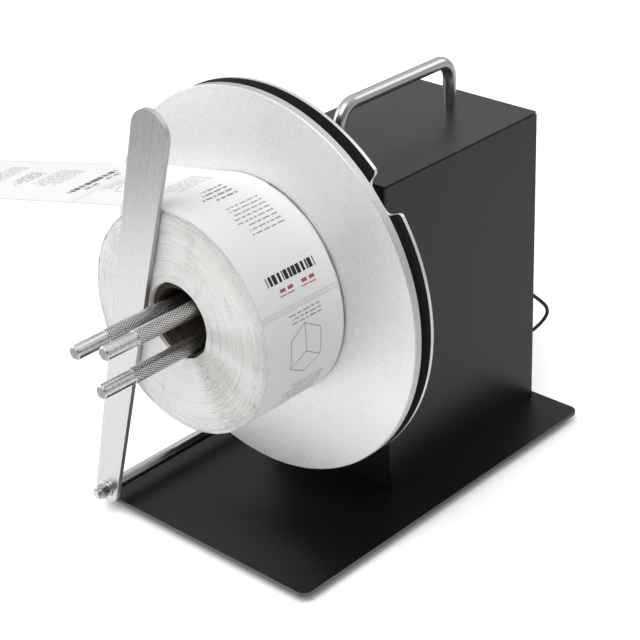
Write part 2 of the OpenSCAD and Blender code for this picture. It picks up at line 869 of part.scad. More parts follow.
module rod_block() {
    half = block_w / 2;
    color("#2f2f2f")
    difference() {
        translate([rod_x, block_front + block_len, base_t]) rotate([90, 0, 0]) linear_extrude(block_len) {
            translate([-half, 0]) square([block_w, rod_lift]);
            translate([0, rod_lift]) circle(half);
        }
        translate([rod_x - block_w, block_front - cut, base_t - block_w])
            cube([2 * block_w, block_len + 2 * cut, block_w]);
        on_pivot(block_front + block_len + cut) cylinder(d = rod_d + 2 * fit, h = block_len + 2 * cut);
        rod_block_screw_places() translate([0, 0, -cut]) cylinder(d = m4_hole, h = block_hole + cut);
    }
}

module rod_block_screw_places() {
    for (k = [-0.5, 0.5])
        translate([rod_x, block_front + block_len / 2 + k * block_screw_pitch, base_t]) children();
}

module rod_block_screws() {
    color("#9a9a9a")
    rod_block_screw_places() translate([0, 0, -base_t]) mirror([0, 0, 1])
        pan_screw(m4, base_t + block_bite);
}

// A flat bar that widens from its round foot to its round top
module guide_arm() {
    // The bar's sides run a hair inside its round ends, so that the outlines cross
    tuck = 0.02;
    spread = (arm_top_r - arm_foot_r) / arm_len;
    side = sqrt(1 - spread * spread);
    foot = arm_foot_r - tuck;
    top = arm_top_r - tuck;
    color("#c6c8c8")
    on_pivot(arm_back) rotate(-arm_lean) linear_extrude(arm_t) difference() {
        union() {
            circle(arm_foot_r);
            translate([0, arm_len]) circle(arm_top_r);
            polygon([
                [-foot * side, -foot * spread], [foot * side, -foot * spread],
                [top * side, arm_len - top * spread], [-top * side, arm_len - top * spread]
            ]);
        }
        circle(d = stud_d + 2 * fit);
    }
}

module arm_washer() {
    color("#c9cacb")
    on_pivot(arm_front - run_gap) ring(stud_d + 2 * washer_rim, stud_d + 2 * fit, washer_t);
}

// A lock nut: a hexagon with a round collar in front
module arm_nut() {
    h = nut_t + nut_collar_t;
    color("#c9cacb")
    on_pivot(arm_front - run_gap - washer_t) difference() {
        union() {
            cylinder(d = nut_across / cos(30), h = nut_t, $fn = 6);
            cylinder(d = nut_collar_d, h = h);
        }
        translate([0, 0, -cut]) cylinder(d = stud_d + 2 * fit, h = h + 2 * cut);
    }
}

// Controls on the rear panel

// A rocker switch's bezel and body, open where the rocker sits
module switch_body(x, height) {
    w = rocker_w + 2 * run_gap;
    h = 2 * (rocker_r + run_gap);
    body_w = rocker_w + 2 * bezel_lip - 2 * fit;
    body_h = 2 * (rocker_r + bezel_lip) - 2 * fit;
    color("#1b1b1b")
    on_rear(x, height) difference() {
        union() {
            translate([0, 0, -switch_depth]) linear_extrude(switch_depth + bezel_t)
                square([body_w, body_h], center = true);
            linear_extrude(bezel_t)
                round_rect(body_w + 2 * bezel_rim, body_h + 2 * bezel_rim, bezel_rim);
        }
        translate([0, 0, -switch_depth + switch_floor]) linear_extrude(switch_depth + bezel_t + cut)
            square([w, h], center = true);
        translate([-body_w / 2 - cut, 0, -rocker_depth]) rotate([0, 90, 0])
            cylinder(d = rocker_pin_d + 2 * fit, h = body_w + 2 * cut);
    }
}

// A rocker with a shallow valley on top, on its own cross pin
module rocker(x, height, tilt) {
    valley = rocker_depth + bezel_t;
    rise = rocker_r * tan(rocker_tilt);
    body_w = rocker_w + 2 * bezel_lip - 2 * fit;
    color("#111111")
    on_rear(x, height) translate([0, 0, -rocker_depth]) rotate([tilt, 0, 0]) {
        rotate([0, 90, 0]) translate([0, 0, -rocker_w / 2]) linear_extrude(rocker_w) intersection() {
            circle(rocker_r);
            polygon([
                [rocker_depth, -rocker_r], [rocker_depth, rocker_r], [-valley - rise, rocker_r],
                [-valley, 0], [-valley - rise, -rocker_r]
            ]);
        }
        rotate([0, 90, 0]) translate([0, 0, -body_w / 2]) cylinder(d = rocker_pin_d, h = body_w);
    }
}

module power_switch_body() switch_body(-control_x, lower_row);
module direction_switch_body() switch_body(control_x, upper_row);
module power_rocker() rocker(-control_x, lower_row, -rocker_tilt);
module direction_rocker() rocker(control_x, upper_row, 0);

module speed_pot() {
    bore = pot_len - pot_floor + sheet_t + pot_nut_t + bushing_end;
    color("#8d9094")
    on_rear(-control_x, upper_row) difference() {
        union() {
            translate([0, 0, -sheet_t - pot_len]) cylinder(d = pot_d, h = pot_len);
            translate([0, 0, -sheet_t - bushing_root])
                cylinder(d = bushing_d, h = bushing_root + sheet_t + pot_nut_t + bushing_end);
            cylinder(d = bushing_d + 2 * pot_nut_rim, h = pot_nut_t, $fn = 6);
        }
        translate([0, 0, -sheet_t - pot_len + pot_floor])
            cylinder(d = knob_shaft_d + 2 * fit, h = bore + cut);
    }
}

module knob_shaft() {
    start = -sheet_t - pot_len + pot_floor + pot_shaft_play;
    color("#b0b2b4")
    on_rear(-control_x, upper_row) translate([0, 0, start])
        cylinder(d = knob_shaft_d, h = knob_h - start);
}

// A fluted knob with a pointer groove, on the potentiometer's shaft
module speed_knob() {
    grip_d = knob_d - 2 * knob_step;
    color("#161616")
    on_rear(-control_x, upper_row) translate([0, 0, knob_base]) difference() {
        union() {
            cylinder(d = knob_d, h = knob_skirt);
            linear_extrude(knob_h) difference() {
                circle(d = grip_d);
                for (i = [0:flutes - 1]) rotate(360 / flutes * i)
                    translate([grip_d / 2, 0]) circle(d = flute_d);
            }
        }
        rotate(-knob_rest) translate([-pointer[0] / 2, pointer_start, knob_h - pointer[1]])
            cube([pointer[0], knob_d, pointer[1] + cut]);
        translate([0, 0, -cut]) cylinder(d = bushing_d + 2 * knob_relief, h = knob_relief_h + cut);
        translate([0, 0, -cut]) cylinder(d = knob_shaft_d + 2 * fit, h = knob_h - knob_top + cut);
    }
}

// Supply lead

// A stepped grommet that narrows towards the lead
module lead_grommet() {
    lip_z = -sheet_t - grommet_lip_t;
    slope_z = grommet_flange_t + grommet_slope;
    color("#141414")
    translate([grommet_x, box_back, grommet_z]) rotate([-90, 0, 0]) difference() {
        rotate_extrude() polygon([
            [0, lip_z], [grommet_lip_r, lip_z], [grommet_lip_r, -sheet_t], [grommet_neck_r, -sheet_t],
            [grommet_neck_r, 0], [grommet_flange_r, 0], [grommet_flange_r, grommet_flange_t],
            [grommet_neck_r, slope_z], [grommet_tip_r, grommet_len], [0, grommet_len]
        ]);
        for (z = grommet_cut_z) translate([0, 0, z])
            ring(2 * grommet_lip_r, 2 * grommet_cut_r, grommet_cut_w);
    }
}

module lead_run() {
    color("#161616")
    tube(lead_route, cord_d / 2, lead_side, lead_sides);
}

// Points of the coil: in to the middle on the floor, then out on top
function coil_at(t) =
    let (r = coil_inner_r + coil_pitch * abs(t - coil_turns),
         s = min(1, max(0, 2 * (t - coil_turns) + 0.5)),
         a = -90 - 360 * t)
    [coil_x + r * cos(a), coil_y + r * sin(a), coil_z + coil_pitch * s * s * (3 - 2 * s)];
coil_points = [for (i = [0:2 * coil_turns * coil_rings]) coil_at(i / coil_rings)];
coil_path = concat(
    [[coil_x + coil_lead_in, coil_entry_y, coil_z]],
    coil_points,
    [[coil_x - coil_lead_out, coil_entry_y, connector_z]]
);

// Least gap of the coil to itself, between points over half a turn apart
coil_self_gap = min([for (i = [0:len(coil_points) - 1], j = [i + coil_rings / 2:len(coil_points) - 1])
    norm(coil_points[i] - coil_points[j])]) - cord_d;
echo(coil_self_gap = coil_self_gap);

module lead_coil() {
    color("#161616")
    tube(coil_path, cord_d / 2, [0, 0, 1], coil_sides);
}

// A strap round the far side of the coil
module lead_tie() {
    in_r = coil_inner_r + coil_pitch / 2 - cord_d / 2 - tie_gap;
    out_r = coil_outer_r - coil_pitch / 2 + cord_d / 2 + tie_gap;
    h = cord_d + coil_pitch + 2 * tie_gap;
    mid = [coil_y + (in_r + out_r) / 2, coil_z + coil_pitch / 2];
    color("#3a3a3a")
    translate([coil_x - tie_w / 2, mid[0], mid[1]]) rotate([90, 0, 90])
    linear_extrude(tie_w) difference() {
        round_rect(out_r - in_r + 2 * tie_t, h + 2 * tie_t, tie_t + tie_corner);
        round_rect(out_r - in_r, h, tie_corner);
    }
}

// An in-line socket with a tapered relief where the lead enters
module lead_connector() {
    r = connector_r;
    body = connector_relief + connector_edge;
    color("#151515")
    translate([coil_x - coil_lead_out, coil_entry_y, connector_z]) rotate([0, -90, 0]) difference() {
        rotate_extrude() polygon([
            [0, 0], [cord_d / 2 + connector_neck, 0], [r - connector_step, connector_relief], [r, body],
            [r, connector_len - connector_edge], [r - connector_edge, connector_len], [0, connector_len]
        ]);
        translate([0, 0, connector_len - connector_bore[2]])
            ring(connector_bore[0], connector_bore[1], connector_bore[2] + cut);
    }
}

// Label roll

// The core stands against the front disc and ends inside the roll
module label_core() {
    color("#8a6a4a")
    on_spindle(disc_front) ring(2 * core_out_r, 2 * core_in_r, roll_gap + roll_w - core_recess);
}

module label_roll() {
    edge = 0.6;
    r = roll_d / 2;
    bore = core_out_r + fit;
    color("#eeeeea")
    on_spindle(roll_back) rotate_extrude() polygon([
        [bore, 0], [r - edge, 0], [r, edge], [r, roll_w - edge], [r - edge, roll_w], [bore, roll_w]
    ]);
}

// The web that runs in over the top of the roll
module label_web() {
    color("#f4f4f1")
    on_spindle(roll_back) rotate(web_slope) translate([-web_len, roll_d / 2 + run_gap, 0])
        cube([web_len, web_t, roll_w]);
}

// Spindle

module spindle_shaft() {
    color("#aeb1b4")
    on_spindle(0) difference() {
        union() {
            translate([0, 0, shaft_end]) cylinder(d = shaft_d, h = shaft_step - shaft_end);
            cylinder(d = cam_seat_d, h = disc_back);
            cylinder(d = spigot_d, h = disc_front - spigot_short);
        }
        translate([0, 0, disc_front - shaft_tapped]) cylinder(d = m6_hole, h = shaft_tapped);
    }
}

module front_disc() {
    r = disc_d / 2;
    bore = spigot_d / 2 + fit;
    reach = shank_flat / 2;
    color("#d9dbdc")
    difference() {
        on_spindle(disc_back) rotate_extrude() polygon([
            [bore, 0], [r, 0], [r, disc_t - disc_chamfer], [r - disc_chamfer, disc_t], [bore, disc_t]
        ]);
        for (k = [1:posts]) on_spindle(disc_back - cut) rotate(post_angle(k))
            linear_extrude(disc_t + 2 * cut) stadium(post_r_min - reach, post_r_max + reach, slot_w);
    }
}

module disc_washer() {
    color("#c2c4c6")
    on_spindle(disc_front) ring(2 * (post_r_min - post_d / 2 - run_gap), m6_hole, disc_washer_t);
}

module disc_screw() {
    color("#55585b")
    on_spindle(disc_front + disc_washer_t) pan_screw(m6, disc_washer_t + disc_screw_bite);
}

module shaft_coupling() {
    color("#c0c2c4")
    on_spindle(coupling_front - coupling_len) difference() {
        cylinder(d = coupling_d, h = coupling_len);
        translate([0, 0, -cut]) cylinder(d = output_d + 2 * fit, h = coupling_len + 2 * cut);
        translate([0, 0, shaft_end - coupling_front + coupling_len])
            cylinder(d = shaft_d + 2 * fit, h = coupling_len);
    }
}

module gearbox_shaft() {
    start = motor_front + output_floor + output_play;
    color("#aeb1b4")
    on_spindle(start) cylinder(d = output_d, h = output_front - start);
}

module cam_collar() {
    color("#8f9295")
    on_spindle(collar_front - collar_len) difference() {
        ring(collar_d, cam_seat_d + 2 * fit, collar_len);
        translate([0, 0, collar_len / 2]) rotate([-90, 0, 0])
            cylinder(d = collar_screw_d, h = collar_d);
    }
}

// Cam disc: spiral slots drive the posts, and notches take the fingers

// Outline of a slot of width w along a spiral from radius r1 to r2, with round ends
module spiral_slot(r1, r2, w) {
    step = 8;
    end_steps = 8;
    turn = (r2 - r1) / spiral_rise * 180 / PI;
    n = ceil(turn / step);
    angles = [for (i = [0:n]) turn * i / n];
    at = function (a) r1 + spiral_rise * a * PI / 180;
    centre = function (a) at(a) * [cos(a), sin(a)];
    heading = function (a) unit([
        spiral_rise * cos(a) - at(a) * sin(a), spiral_rise * sin(a) + at(a) * cos(a)
    ]);
    outward = function (a) [heading(a)[1], -heading(a)[0]];
    round_end = function (a, way) [for (i = [1:end_steps - 1]) let (b = 180 * i / end_steps)
        centre(a) + way * w / 2 * (cos(b) * outward(a) + sin(b) * heading(a))];
    polygon(concat(
        [for (a = angles) centre(a) + w / 2 * outward(a)],
        round_end(turn, 1),
        [for (i = [n:-1:0]) centre(angles[i]) - w / 2 * outward(angles[i])],
        round_end(0, -1)
    ));
}

// A finger notch cut in from the rim: x runs along the rim and y from the spindle
module finger_notch() {
    steps = 6;
    r = cam_d / 2;
    past_rim = 0.1;
    floor_y = r - notch_depth;
    lip = [notch_w / 2, r + past_rim];
    heel = [notch_floor_w / 2, floor_y];
    flank = unit(lip - heel);
    bend = function (a, c, b) [for (i = [0:steps]) let (t = i / steps)
        (1 - t) * (1 - t) * a + 2 * t * (1 - t) * c + t * t * b];
    wrap = function (p) p[1] * [sin(p[0] / r * 180 / PI), cos(p[0] / r * 180 / PI)];
    side = concat(
        bend(heel - [notch_fillet, 0], heel, heel + notch_fillet * flank),
        bend(lip - notch_lip * flank, lip, lip + [notch_lip, 0]),
        [[0, r + notch_lip]]
    );
    outline = concat(side, [for (i = [len(side) - 1:-1:0]) [-side[i][0], side[i][1]]]);
    polygon([for (p = outline) wrap(p)]);
}

module cam_disc() {
    start = (post_r_min - post_r) / spiral_rise * 180 / PI;
    color("#2c2c2c")
    on_spindle(cam_back) linear_extrude(cam_t) difference() {
        circle(d = cam_d);
        circle(d = cam_seat_d + 2 * fit);
        for (k = [1:posts]) rotate(post_angle(k) + start)
            spiral_slot(post_r_min, post_r_max, cam_pin_d + 2 * run_gap);
        for (k = [0:posts - 1]) rotate(notch_angle - 90 + post_step * k) finger_notch();
        for (k = [1:posts]) rotate(post_angle(k)) translate([cam_screw_r, 0]) circle(d = m3_hole);
    }
}

module cam_hub() {
    color("#b9bbbd")
    on_spindle(cam_back) mirror([0, 0, 1]) difference() {
        union() {
            cylinder(d = cam_hub_d, h = cam_hub_t);
            cylinder(d = cam_boss_d, h = cam_hub_t + cam_boss_len);
        }
        translate([0, 0, -cut]) cylinder(d = cam_seat_d + 2 * fit, h = cam_hub_t + cam_boss_len + 2 * cut);
        for (k = [1:posts]) rotate(post_angle(k)) translate([cam_screw_r, 0, -cut])
            cylinder(d = m3_hole, h = cam_hub_t + 2 * cut);
    }
}

// Screws through the hub into the cam disc, heads at the back
module cam_hub_screws() {
    color("#9a9a9a")
    on_spindle(cam_back - cam_hub_t) mirror([0, 0, 1])
        for (k = [1:posts]) rotate(post_angle(k)) translate([cam_screw_r, 0, 0])
            pan_screw(m3, cam_hub_t + cam_t - tip_clear);
}

// Posts and the sliders that carry them in the radial slots

module on_post(k) {
    on_spindle(0) rotate(post_angle(k)) translate([post_r, 0, 0]) children();
}

module post(k) {
    start = disc_front + run_gap;
    tip = disc_front + post_reach;
    knurl_end = tip - post_tip_len;
    r = post_d / 2;
    tip_r = post_tip_d / 2;
    color("#9ea1a3")
    on_post(k) {
        rotate_extrude() polygon([
            [0, start], [r, start], [r, knurl_end - post_neck], [tip_r, knurl_end],
            [tip_r, tip - post_bevel], [tip_r - post_bevel, tip], [0, tip]
        ]);
        translate([0, 0, start - post_pin_len]) cylinder(d = post_pin_d, h = post_pin_len + cut);
    }
}

module slider(k) {
    foot_front = disc_back - run_gap;
    foot_back = foot_front - slider_t;
    shank_front = disc_front + run_gap;
    hole = post_pin_len + pin_hole_spare;
    pin_back = cam_back + run_gap;
    color("#7f8386")
    on_post(k) difference() {
        union() {
            translate([-shank_len / 2, -foot_w / 2, foot_back]) cube([shank_len, foot_w, slider_t]);
            translate([0, 0, foot_back]) linear_extrude(shank_front - foot_back)
                stadium(-shank_flat / 2, shank_flat / 2, shank_w);
            translate([0, 0, pin_back]) cylinder(d = cam_pin_d, h = foot_front - pin_back);
        }
        translate([0, 0, shank_front - hole]) cylinder(d = post_pin_d + 2 * fit, h = hole + cut);
    }
}

at_datum() base_plate();
at_datum() rubber_feet();
at_datum() foot_screws();
at_datum() housing_shell();
at_datum() shell_screws();
at_datum() top_cover();
at_datum() rear_panel();
at_datum() panel_screws();
at_datum() handle();
at_datum() handle_screws();
at_datum() bearing_housing();
at_datum() bearing_screws();
at_datum() bearing_front();
at_datum() bearing_rear();
at_datum() motor_spacers();
at_datum() spacer_screws();
at_datum() motor_plate();
at_datum() gearbox();
at_datum() gearbox_screws();
at_datum() motor();
at_datum() control_board();
at_datum() board_standoffs();
at_datum() guide_rod();
at_datum() rod_block();
at_datum() rod_block_screws();
at_datum() arm_washer();
at_datum() arm_nut();
at_datum() power_switch_body();
at_datum() direction_switch_body();
at_datum() speed_pot();
at_datum() lead_grommet();
at_datum() lead_run();
at_datum() lead_coil();
at_datum() lead_tie();
at_datum() lead_connector();
at_datum() label_web();
at_datum() spindle_shaft();
at_datum() front_disc();
at_datum() disc_washer();
at_datum() disc_screw();
at_datum() shaft_coupling();
at_datum() gearbox_shaft();
at_datum() cam_collar();
at_datum() label_core();
at_datum() label_roll();
at_datum() cam_disc();
at_datum() cam_hub();
at_datum() cam_hub_screws();
at_datum() post(1);  // post_1
at_datum() post(2);  // post_2
at_datum() post(3);  // post_3
at_datum() slider(1);  // slider_1
at_datum() slider(2);  // slider_2
at_datum() slider(3);  // slider_3
at_datum() guide_arm();
at_datum() power_rocker();
at_datum() direction_rocker();
at_datum() speed_knob();
at_datum() knob_shaft();
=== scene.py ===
# %% [markdown]
# # Dressing a label rewinder
#
# A label rewinder is a small table machine: a motor in a black steel housing turns a large alloy disc,
# three knurled posts hold the core of a label roll, and a flat arm keeps the web from running off.
# The shapes come from the construction model. This lesson gives them their finishes, and makes what a
# construction model leaves out: the wound paper, the printed labels, the lead on the table.

# %% Load the construction model
import math
import random

import bpy
from mathutils import Matrix, Vector


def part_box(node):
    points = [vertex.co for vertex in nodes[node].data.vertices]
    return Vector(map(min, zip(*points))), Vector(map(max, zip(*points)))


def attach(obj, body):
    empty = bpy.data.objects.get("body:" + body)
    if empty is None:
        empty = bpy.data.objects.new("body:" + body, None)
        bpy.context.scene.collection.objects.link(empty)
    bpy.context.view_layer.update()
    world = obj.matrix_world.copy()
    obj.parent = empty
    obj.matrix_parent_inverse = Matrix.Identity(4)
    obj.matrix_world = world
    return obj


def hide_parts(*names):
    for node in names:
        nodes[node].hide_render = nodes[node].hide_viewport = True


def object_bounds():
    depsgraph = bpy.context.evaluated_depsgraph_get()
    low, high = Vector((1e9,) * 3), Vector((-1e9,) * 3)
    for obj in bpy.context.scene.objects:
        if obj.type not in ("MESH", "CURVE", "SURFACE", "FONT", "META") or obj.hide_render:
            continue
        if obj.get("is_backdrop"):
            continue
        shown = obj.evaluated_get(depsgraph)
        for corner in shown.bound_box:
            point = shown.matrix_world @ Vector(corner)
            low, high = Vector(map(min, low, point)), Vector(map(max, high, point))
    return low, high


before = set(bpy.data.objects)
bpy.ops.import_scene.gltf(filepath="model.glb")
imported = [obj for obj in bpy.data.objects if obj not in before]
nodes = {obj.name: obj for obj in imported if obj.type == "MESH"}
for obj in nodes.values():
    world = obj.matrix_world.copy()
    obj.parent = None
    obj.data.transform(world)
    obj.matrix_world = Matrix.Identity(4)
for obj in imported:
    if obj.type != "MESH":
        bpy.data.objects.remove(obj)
cad_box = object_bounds()

# %% [markdown]
# ## Places that the pieces share
#
# The roll, the web and the posts all refer to the spindle's axis, and the lead, the lamps and the camera to the
# middle of the base plate. These could be typed in again as numbers, but reading them from the model's own
# boxes keeps the scene right if the model changes.

# %% Measure the shared places
MM = 0.001
roll_low, roll_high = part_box("label_roll")
core_low, core_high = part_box("label_core")
floor_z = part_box("rubber_feet")[0].z
base_low, base_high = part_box("base_plate")
home = Vector(((base_low.x + base_high.x) / 2, (base_low.y + base_high.y) / 2, base_low.z))
spindle = (roll_low + roll_high) / 2
roll_r = (roll_high.x - roll_low.x) / 2
core_r = (core_high.x - core_low.x) / 2
roll_w = roll_high.y - roll_low.y
print("roll radius", round(roll_r, 4), "spindle height", round(spindle.z, 4))

# %% [markdown]
# ## The camera
#
# The photograph was taken with a long lens from the front right, a little above the machine. A camera is
# easiest to place by its viewing direction: azimuth round the machine, elevation above the table, and a
# small roll. Its three axes are worked out from those angles and written into its matrix.

# %% Place the camera
azimuth, elevation, roll_angle = (math.radians(a) for a in (43.527, 27.876, -2.399))
behind = Vector((
    math.sin(azimuth) * math.cos(elevation),
    -math.cos(azimuth) * math.cos(elevation),
    math.sin(elevation),
))
level = Vector((0, 0, 1)).cross(behind).normalized()
upward = behind.cross(level)
across = math.cos(roll_angle) * level + math.sin(roll_angle) * upward
upward = behind.cross(across)

eye = home + Vector((0.696637, -0.753881, 0.640929))
facing = Matrix((across, upward, behind)).transposed().to_4x4()
camera = bpy.data.objects.new("camera", bpy.data.cameras.new("camera"))
camera.data.sensor_width = 36.0
camera.data.lens = 104.11
camera.data.clip_start = 0.05
camera.data.clip_end = 50.0
camera.matrix_world = Matrix.Translation(eye) @ facing
bpy.context.scene.collection.objects.link(camera)
bpy.context.scene.camera = camera
print("camera at", [round(v, 3) for v in camera.location])

# %% [markdown]
# ## Finishes as sums
#
# A finish here is a node tree. Placing each Math node by hand hides what it computes, so a small class
# wraps a socket and lets Python's own operators add the nodes: `1 - mask` becomes a Subtract node. A second
# class keeps the tree that the nodes go into, with one method for each kind of node that the finishes share.

# %% Wrap sockets
class Wire:
    """A socket that can be used in sums."""

    def __init__(self, finish, socket):
        self.finish = finish
        self.socket = socket

    def math(self, operation, first, second=0.0):
        return self.finish.add("ShaderNodeMath", {"operation": operation}, {0: first, 1: second})

    def __add__(self, other):
        return self.math("ADD", self, other)

    def __radd__(self, other):
        return self.math("ADD", other, self)

    def __sub__(self, other):
        return self.math("SUBTRACT", self, other)

    def __rsub__(self, other):
        return self.math("SUBTRACT", other, self)

    def __mul__(self, other):
        return self.math("MULTIPLY", self, other)

    def __rmul__(self, other):
        return self.math("MULTIPLY", other, self)

    def __truediv__(self, other):
        return self.math("DIVIDE", self, other)

    def __pow__(self, other):
        return self.math("POWER", self, other)

    def __abs__(self):
        return self.math("ABSOLUTE", self)

    def sine(self):
        return self.math("SINE", self)

    def least(self, other):
        return self.math("MINIMUM", self, other)

    def most(self, other):
        return self.math("MAXIMUM", self, other)

    def above(self, other):
        return self.math("GREATER_THAN", self, other)


print("Wire: sums of sockets")


# %% Keep a node tree
class NodeTree:
    """A node tree while it is being made, with one shader that the other nodes feed."""

    def __init__(self, tree, output, shader):
        self.tree = tree
        tree.nodes.clear()
        self.shader = tree.nodes.new(shader)
        tree.links.new(self.shader.outputs[0], tree.nodes.new(output).inputs["Surface"])

    def plug(self, node, sockets):
        for key, value in sockets.items():
            if isinstance(value, Wire):
                self.tree.links.new(value.socket, node.inputs[key])
            else:
                node.inputs[key].default_value = value

    def set(self, sockets):
        self.plug(self.shader, sockets)
        return self

    def add(self, kind, settings=None, sockets=None, out=0):
        node = self.tree.nodes.new(kind)
        for key, value in (settings or {}).items():
            if key == "stops":
                ramp = node.color_ramp.elements
                while len(ramp) < len(value):
                    ramp.new(0.5)
                for stop, (place, colour) in zip(ramp, value):
                    stop.position = place
                    stop.color = colour
            else:
                setattr(node, key, value)
        self.plug(node, sockets or {})
        return Wire(self, node.outputs[out])

    def place(self, kind="Object"):
        """A texture coordinate as three wires. Object is the point on the piece, in metres."""
        point = self.add("ShaderNodeTexCoord", out=kind)
        return [self.add("ShaderNodeSeparateXYZ", None, {0: point}, out=i) for i in range(3)]

    def vector(self, x, y, z):
        return self.add("ShaderNodeCombineXYZ", None, {0: x, 1: y, 2: z})

    def noise(self, point, detail=2.0, roughness=0.5):
        sockets = {"Vector": point, "Scale": 1.0, "Detail": detail, "Roughness": roughness}
        return self.add("ShaderNodeTexNoise", None, sockets)

    def grey(self, level):
        """A neutral colour."""
        return self.add("ShaderNodeCombineColor", None, {0: level, 1: level, 2: level})

    def shade(self, factor, low, high):
        """A colour between low and high."""
        stops = [(0.0, (*low, 1.0)), (1.0, (*high, 1.0))]
        return self.add("ShaderNodeValToRGB", {"stops": stops}, {0: factor})

    def span(self, value, low, high, to_low=0.0, to_high=1.0):
        sockets = {"Value": value, "From Min": low, "From Max": high, "To Min": to_low, "To Max": to_high}
        return self.add("ShaderNodeMapRange", {"clamp": True}, sockets)

    def bump(self, height, depth, strength=1.0, normal=None):
        sockets = {"Height": height, "Distance": depth, "Strength": strength}
        if normal is not None:
            sockets["Normal"] = normal
        return self.add("ShaderNodeBump", None, sockets)

    def soft_edges(self, radius):
        """A normal that rounds sharp edges over, as paint and deburring do."""
        return self.add("ShaderNodeBevel", {"samples": 4}, {"Radius": radius})


print("NodeTree: nodes for one shader")


# %% Make a finish and give it to nodes
class Finish(NodeTree):
    """A material with one Principled shader."""

    def __init__(self, name, sockets):
        self.material = bpy.data.materials.new(name)
        self.material.use_nodes = True
        super().__init__(self.material.node_tree, "ShaderNodeOutputMaterial", "ShaderNodeBsdfPrincipled")
        self.set(sockets)


def dress(finish, *names):
    """Gives CAD nodes a finish."""
    for name in names:
        mesh = nodes[name].data
        mesh.materials.clear()
        mesh.materials.append(finish.material)
        mesh.polygons.foreach_set("material_index", [0] * len(mesh.polygons))
    print(finish.material.name, "on", ", ".join(names))


print("Finish: a material with one Principled shader")

# %% [markdown]
# ## The supply lead
#
# A thin black lead leaves the back of the housing, bends down beside it and lies on the table, where its
# spare length is coiled and strapped. It is one flexible thing, so it is one curve: the listed route to
# the coil, smoothed, then two layers of a flat spiral, in towards the middle and out again on top.

# %% Lay out the lead's route
lead_d = 2.5 * MM
coil_turns, coil_pitch, coil_inner_r = 5, 3.0 * MM, 7.5 * MM
strap_rise = 1.0 * MM
coil_z = floor_z + strap_rise + lead_d / 2
coil_entry = Vector((home.x - 25 * MM, home.y + 165 * MM, coil_z))
coil_outer_r = coil_inner_r + coil_turns * coil_pitch
lead_route = [home + Vector(p) * MM for p in (
    (30, 137.5, 74), (30, 141.5, 74), (31.2, 146, 71.8), (33.8, 150, 67.5), (36, 153.5, 63.5),
    (38.8, 157, 59.3), (40.8, 160, 54.9), (40.7, 162, 50.1), (38.7, 163, 45.2), (35.2, 163.5, 39.7),
    (31.3, 164, 34.8), (27.4, 164.3, 30.4), (22, 164.6, 24.6), (16, 165, 18.2), (10, 165, 12),
    (4, 165, 6.6), (-2.5, 165, 2), (-9, 165, -1), (-15.5, 165, -2.5),
)] + [coil_entry + Vector((lead_d, 0, 0))]


def smooth_through(points, steps):
    """Points on a smooth curve through all the given ones."""
    line = []
    for i in range(len(points) - 1):
        a, b = points[i], points[i + 1]
        before = points[i - 1] if i else 2 * a - b
        after = points[i + 2] if i + 2 < len(points) else 2 * b - a
        for k in range(steps):
            t = k / steps
            line.append(0.5 * (
                2 * a + (b - before) * t + (2 * before - 5 * a + 4 * b - after) * t ** 2
                + (3 * a - before - 3 * b + after) * t ** 3
            ))
    return line + [points[-1]]


def coil_point(turn):
    radius = coil_inner_r + coil_pitch * abs(turn - coil_turns)
    climb = min(1.0, max(0.0, 2 * (turn - coil_turns) + 0.5))
    angle = math.radians(-90 - 360 * turn)
    middle = coil_entry + Vector((0, coil_outer_r, 0))
    rise = coil_pitch * climb * climb * (3 - 2 * climb)
    return middle + Vector((radius * math.cos(angle), radius * math.sin(angle), rise))


tail_len, coil_steps, route_steps = 18 * MM, 48, 6
lead_end = coil_entry + Vector((-tail_len, 0, coil_pitch))
lead_line = smooth_through(lead_route, route_steps)
lead_line += [coil_point(i / coil_steps) for i in range(2 * coil_turns * coil_steps + 1)]
lead_line += [lead_end]
lead_length = sum((b - a).length for a, b in zip(lead_line, lead_line[1:]))
print("lead", round(lead_length, 3), "m")

# %% Make the lead
lead_curve = bpy.data.curves.new("supply_lead", "CURVE")
lead_curve.dimensions = "3D"
lead_curve.bevel_depth = 1.0
lead_curve.bevel_resolution = 3
lead_curve.use_fill_caps = True
lead_strand = lead_curve.splines.new("POLY")
lead_strand.points.add(len(lead_line) - 1)
for point, place in zip(lead_strand.points, lead_line):
    point.co = (*place, 1.0)
    point.radius = lead_d / 2
lead = bpy.data.objects.new("supply_lead", lead_curve)
bpy.context.scene.collection.objects.link(lead)
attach(lead, "stand")
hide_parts("lead_run", "lead_coil")
print("lead of", len(lead_line), "points")

# %% [markdown]
# ## Table and light
#
# The machine stands on a white table in soft light: a large lamp above its front, one on its left and two
# weaker ones, as soft boxes in a studio. The camera sees the table and the room as plain white, apart from
# a soft shadow close to the machine, which is partly painted into the table's glow where the room is hidden.
# Metal should see them too, but in a real studio the light falls off away from the machine, and polished
# metal looks like metal only if it has darker things to reflect. So in reflections the table's white fades
# towards the front left and the back right, and the room's towards its horizon. The room is also dimmer at
# the front right, where no lamp stands.

# %% Table
bpy.context.scene.view_settings.view_transform = "Standard"


def rays(tree):
    """Two masks: rays from the camera, and rays from mirrors or glass."""
    direct, glossy, through = (
        tree.add("ShaderNodeLightPath", out=f"Is {kind} Ray") for kind in ("Camera", "Glossy", "Transmission")
    )
    return direct, glossy.most(through)


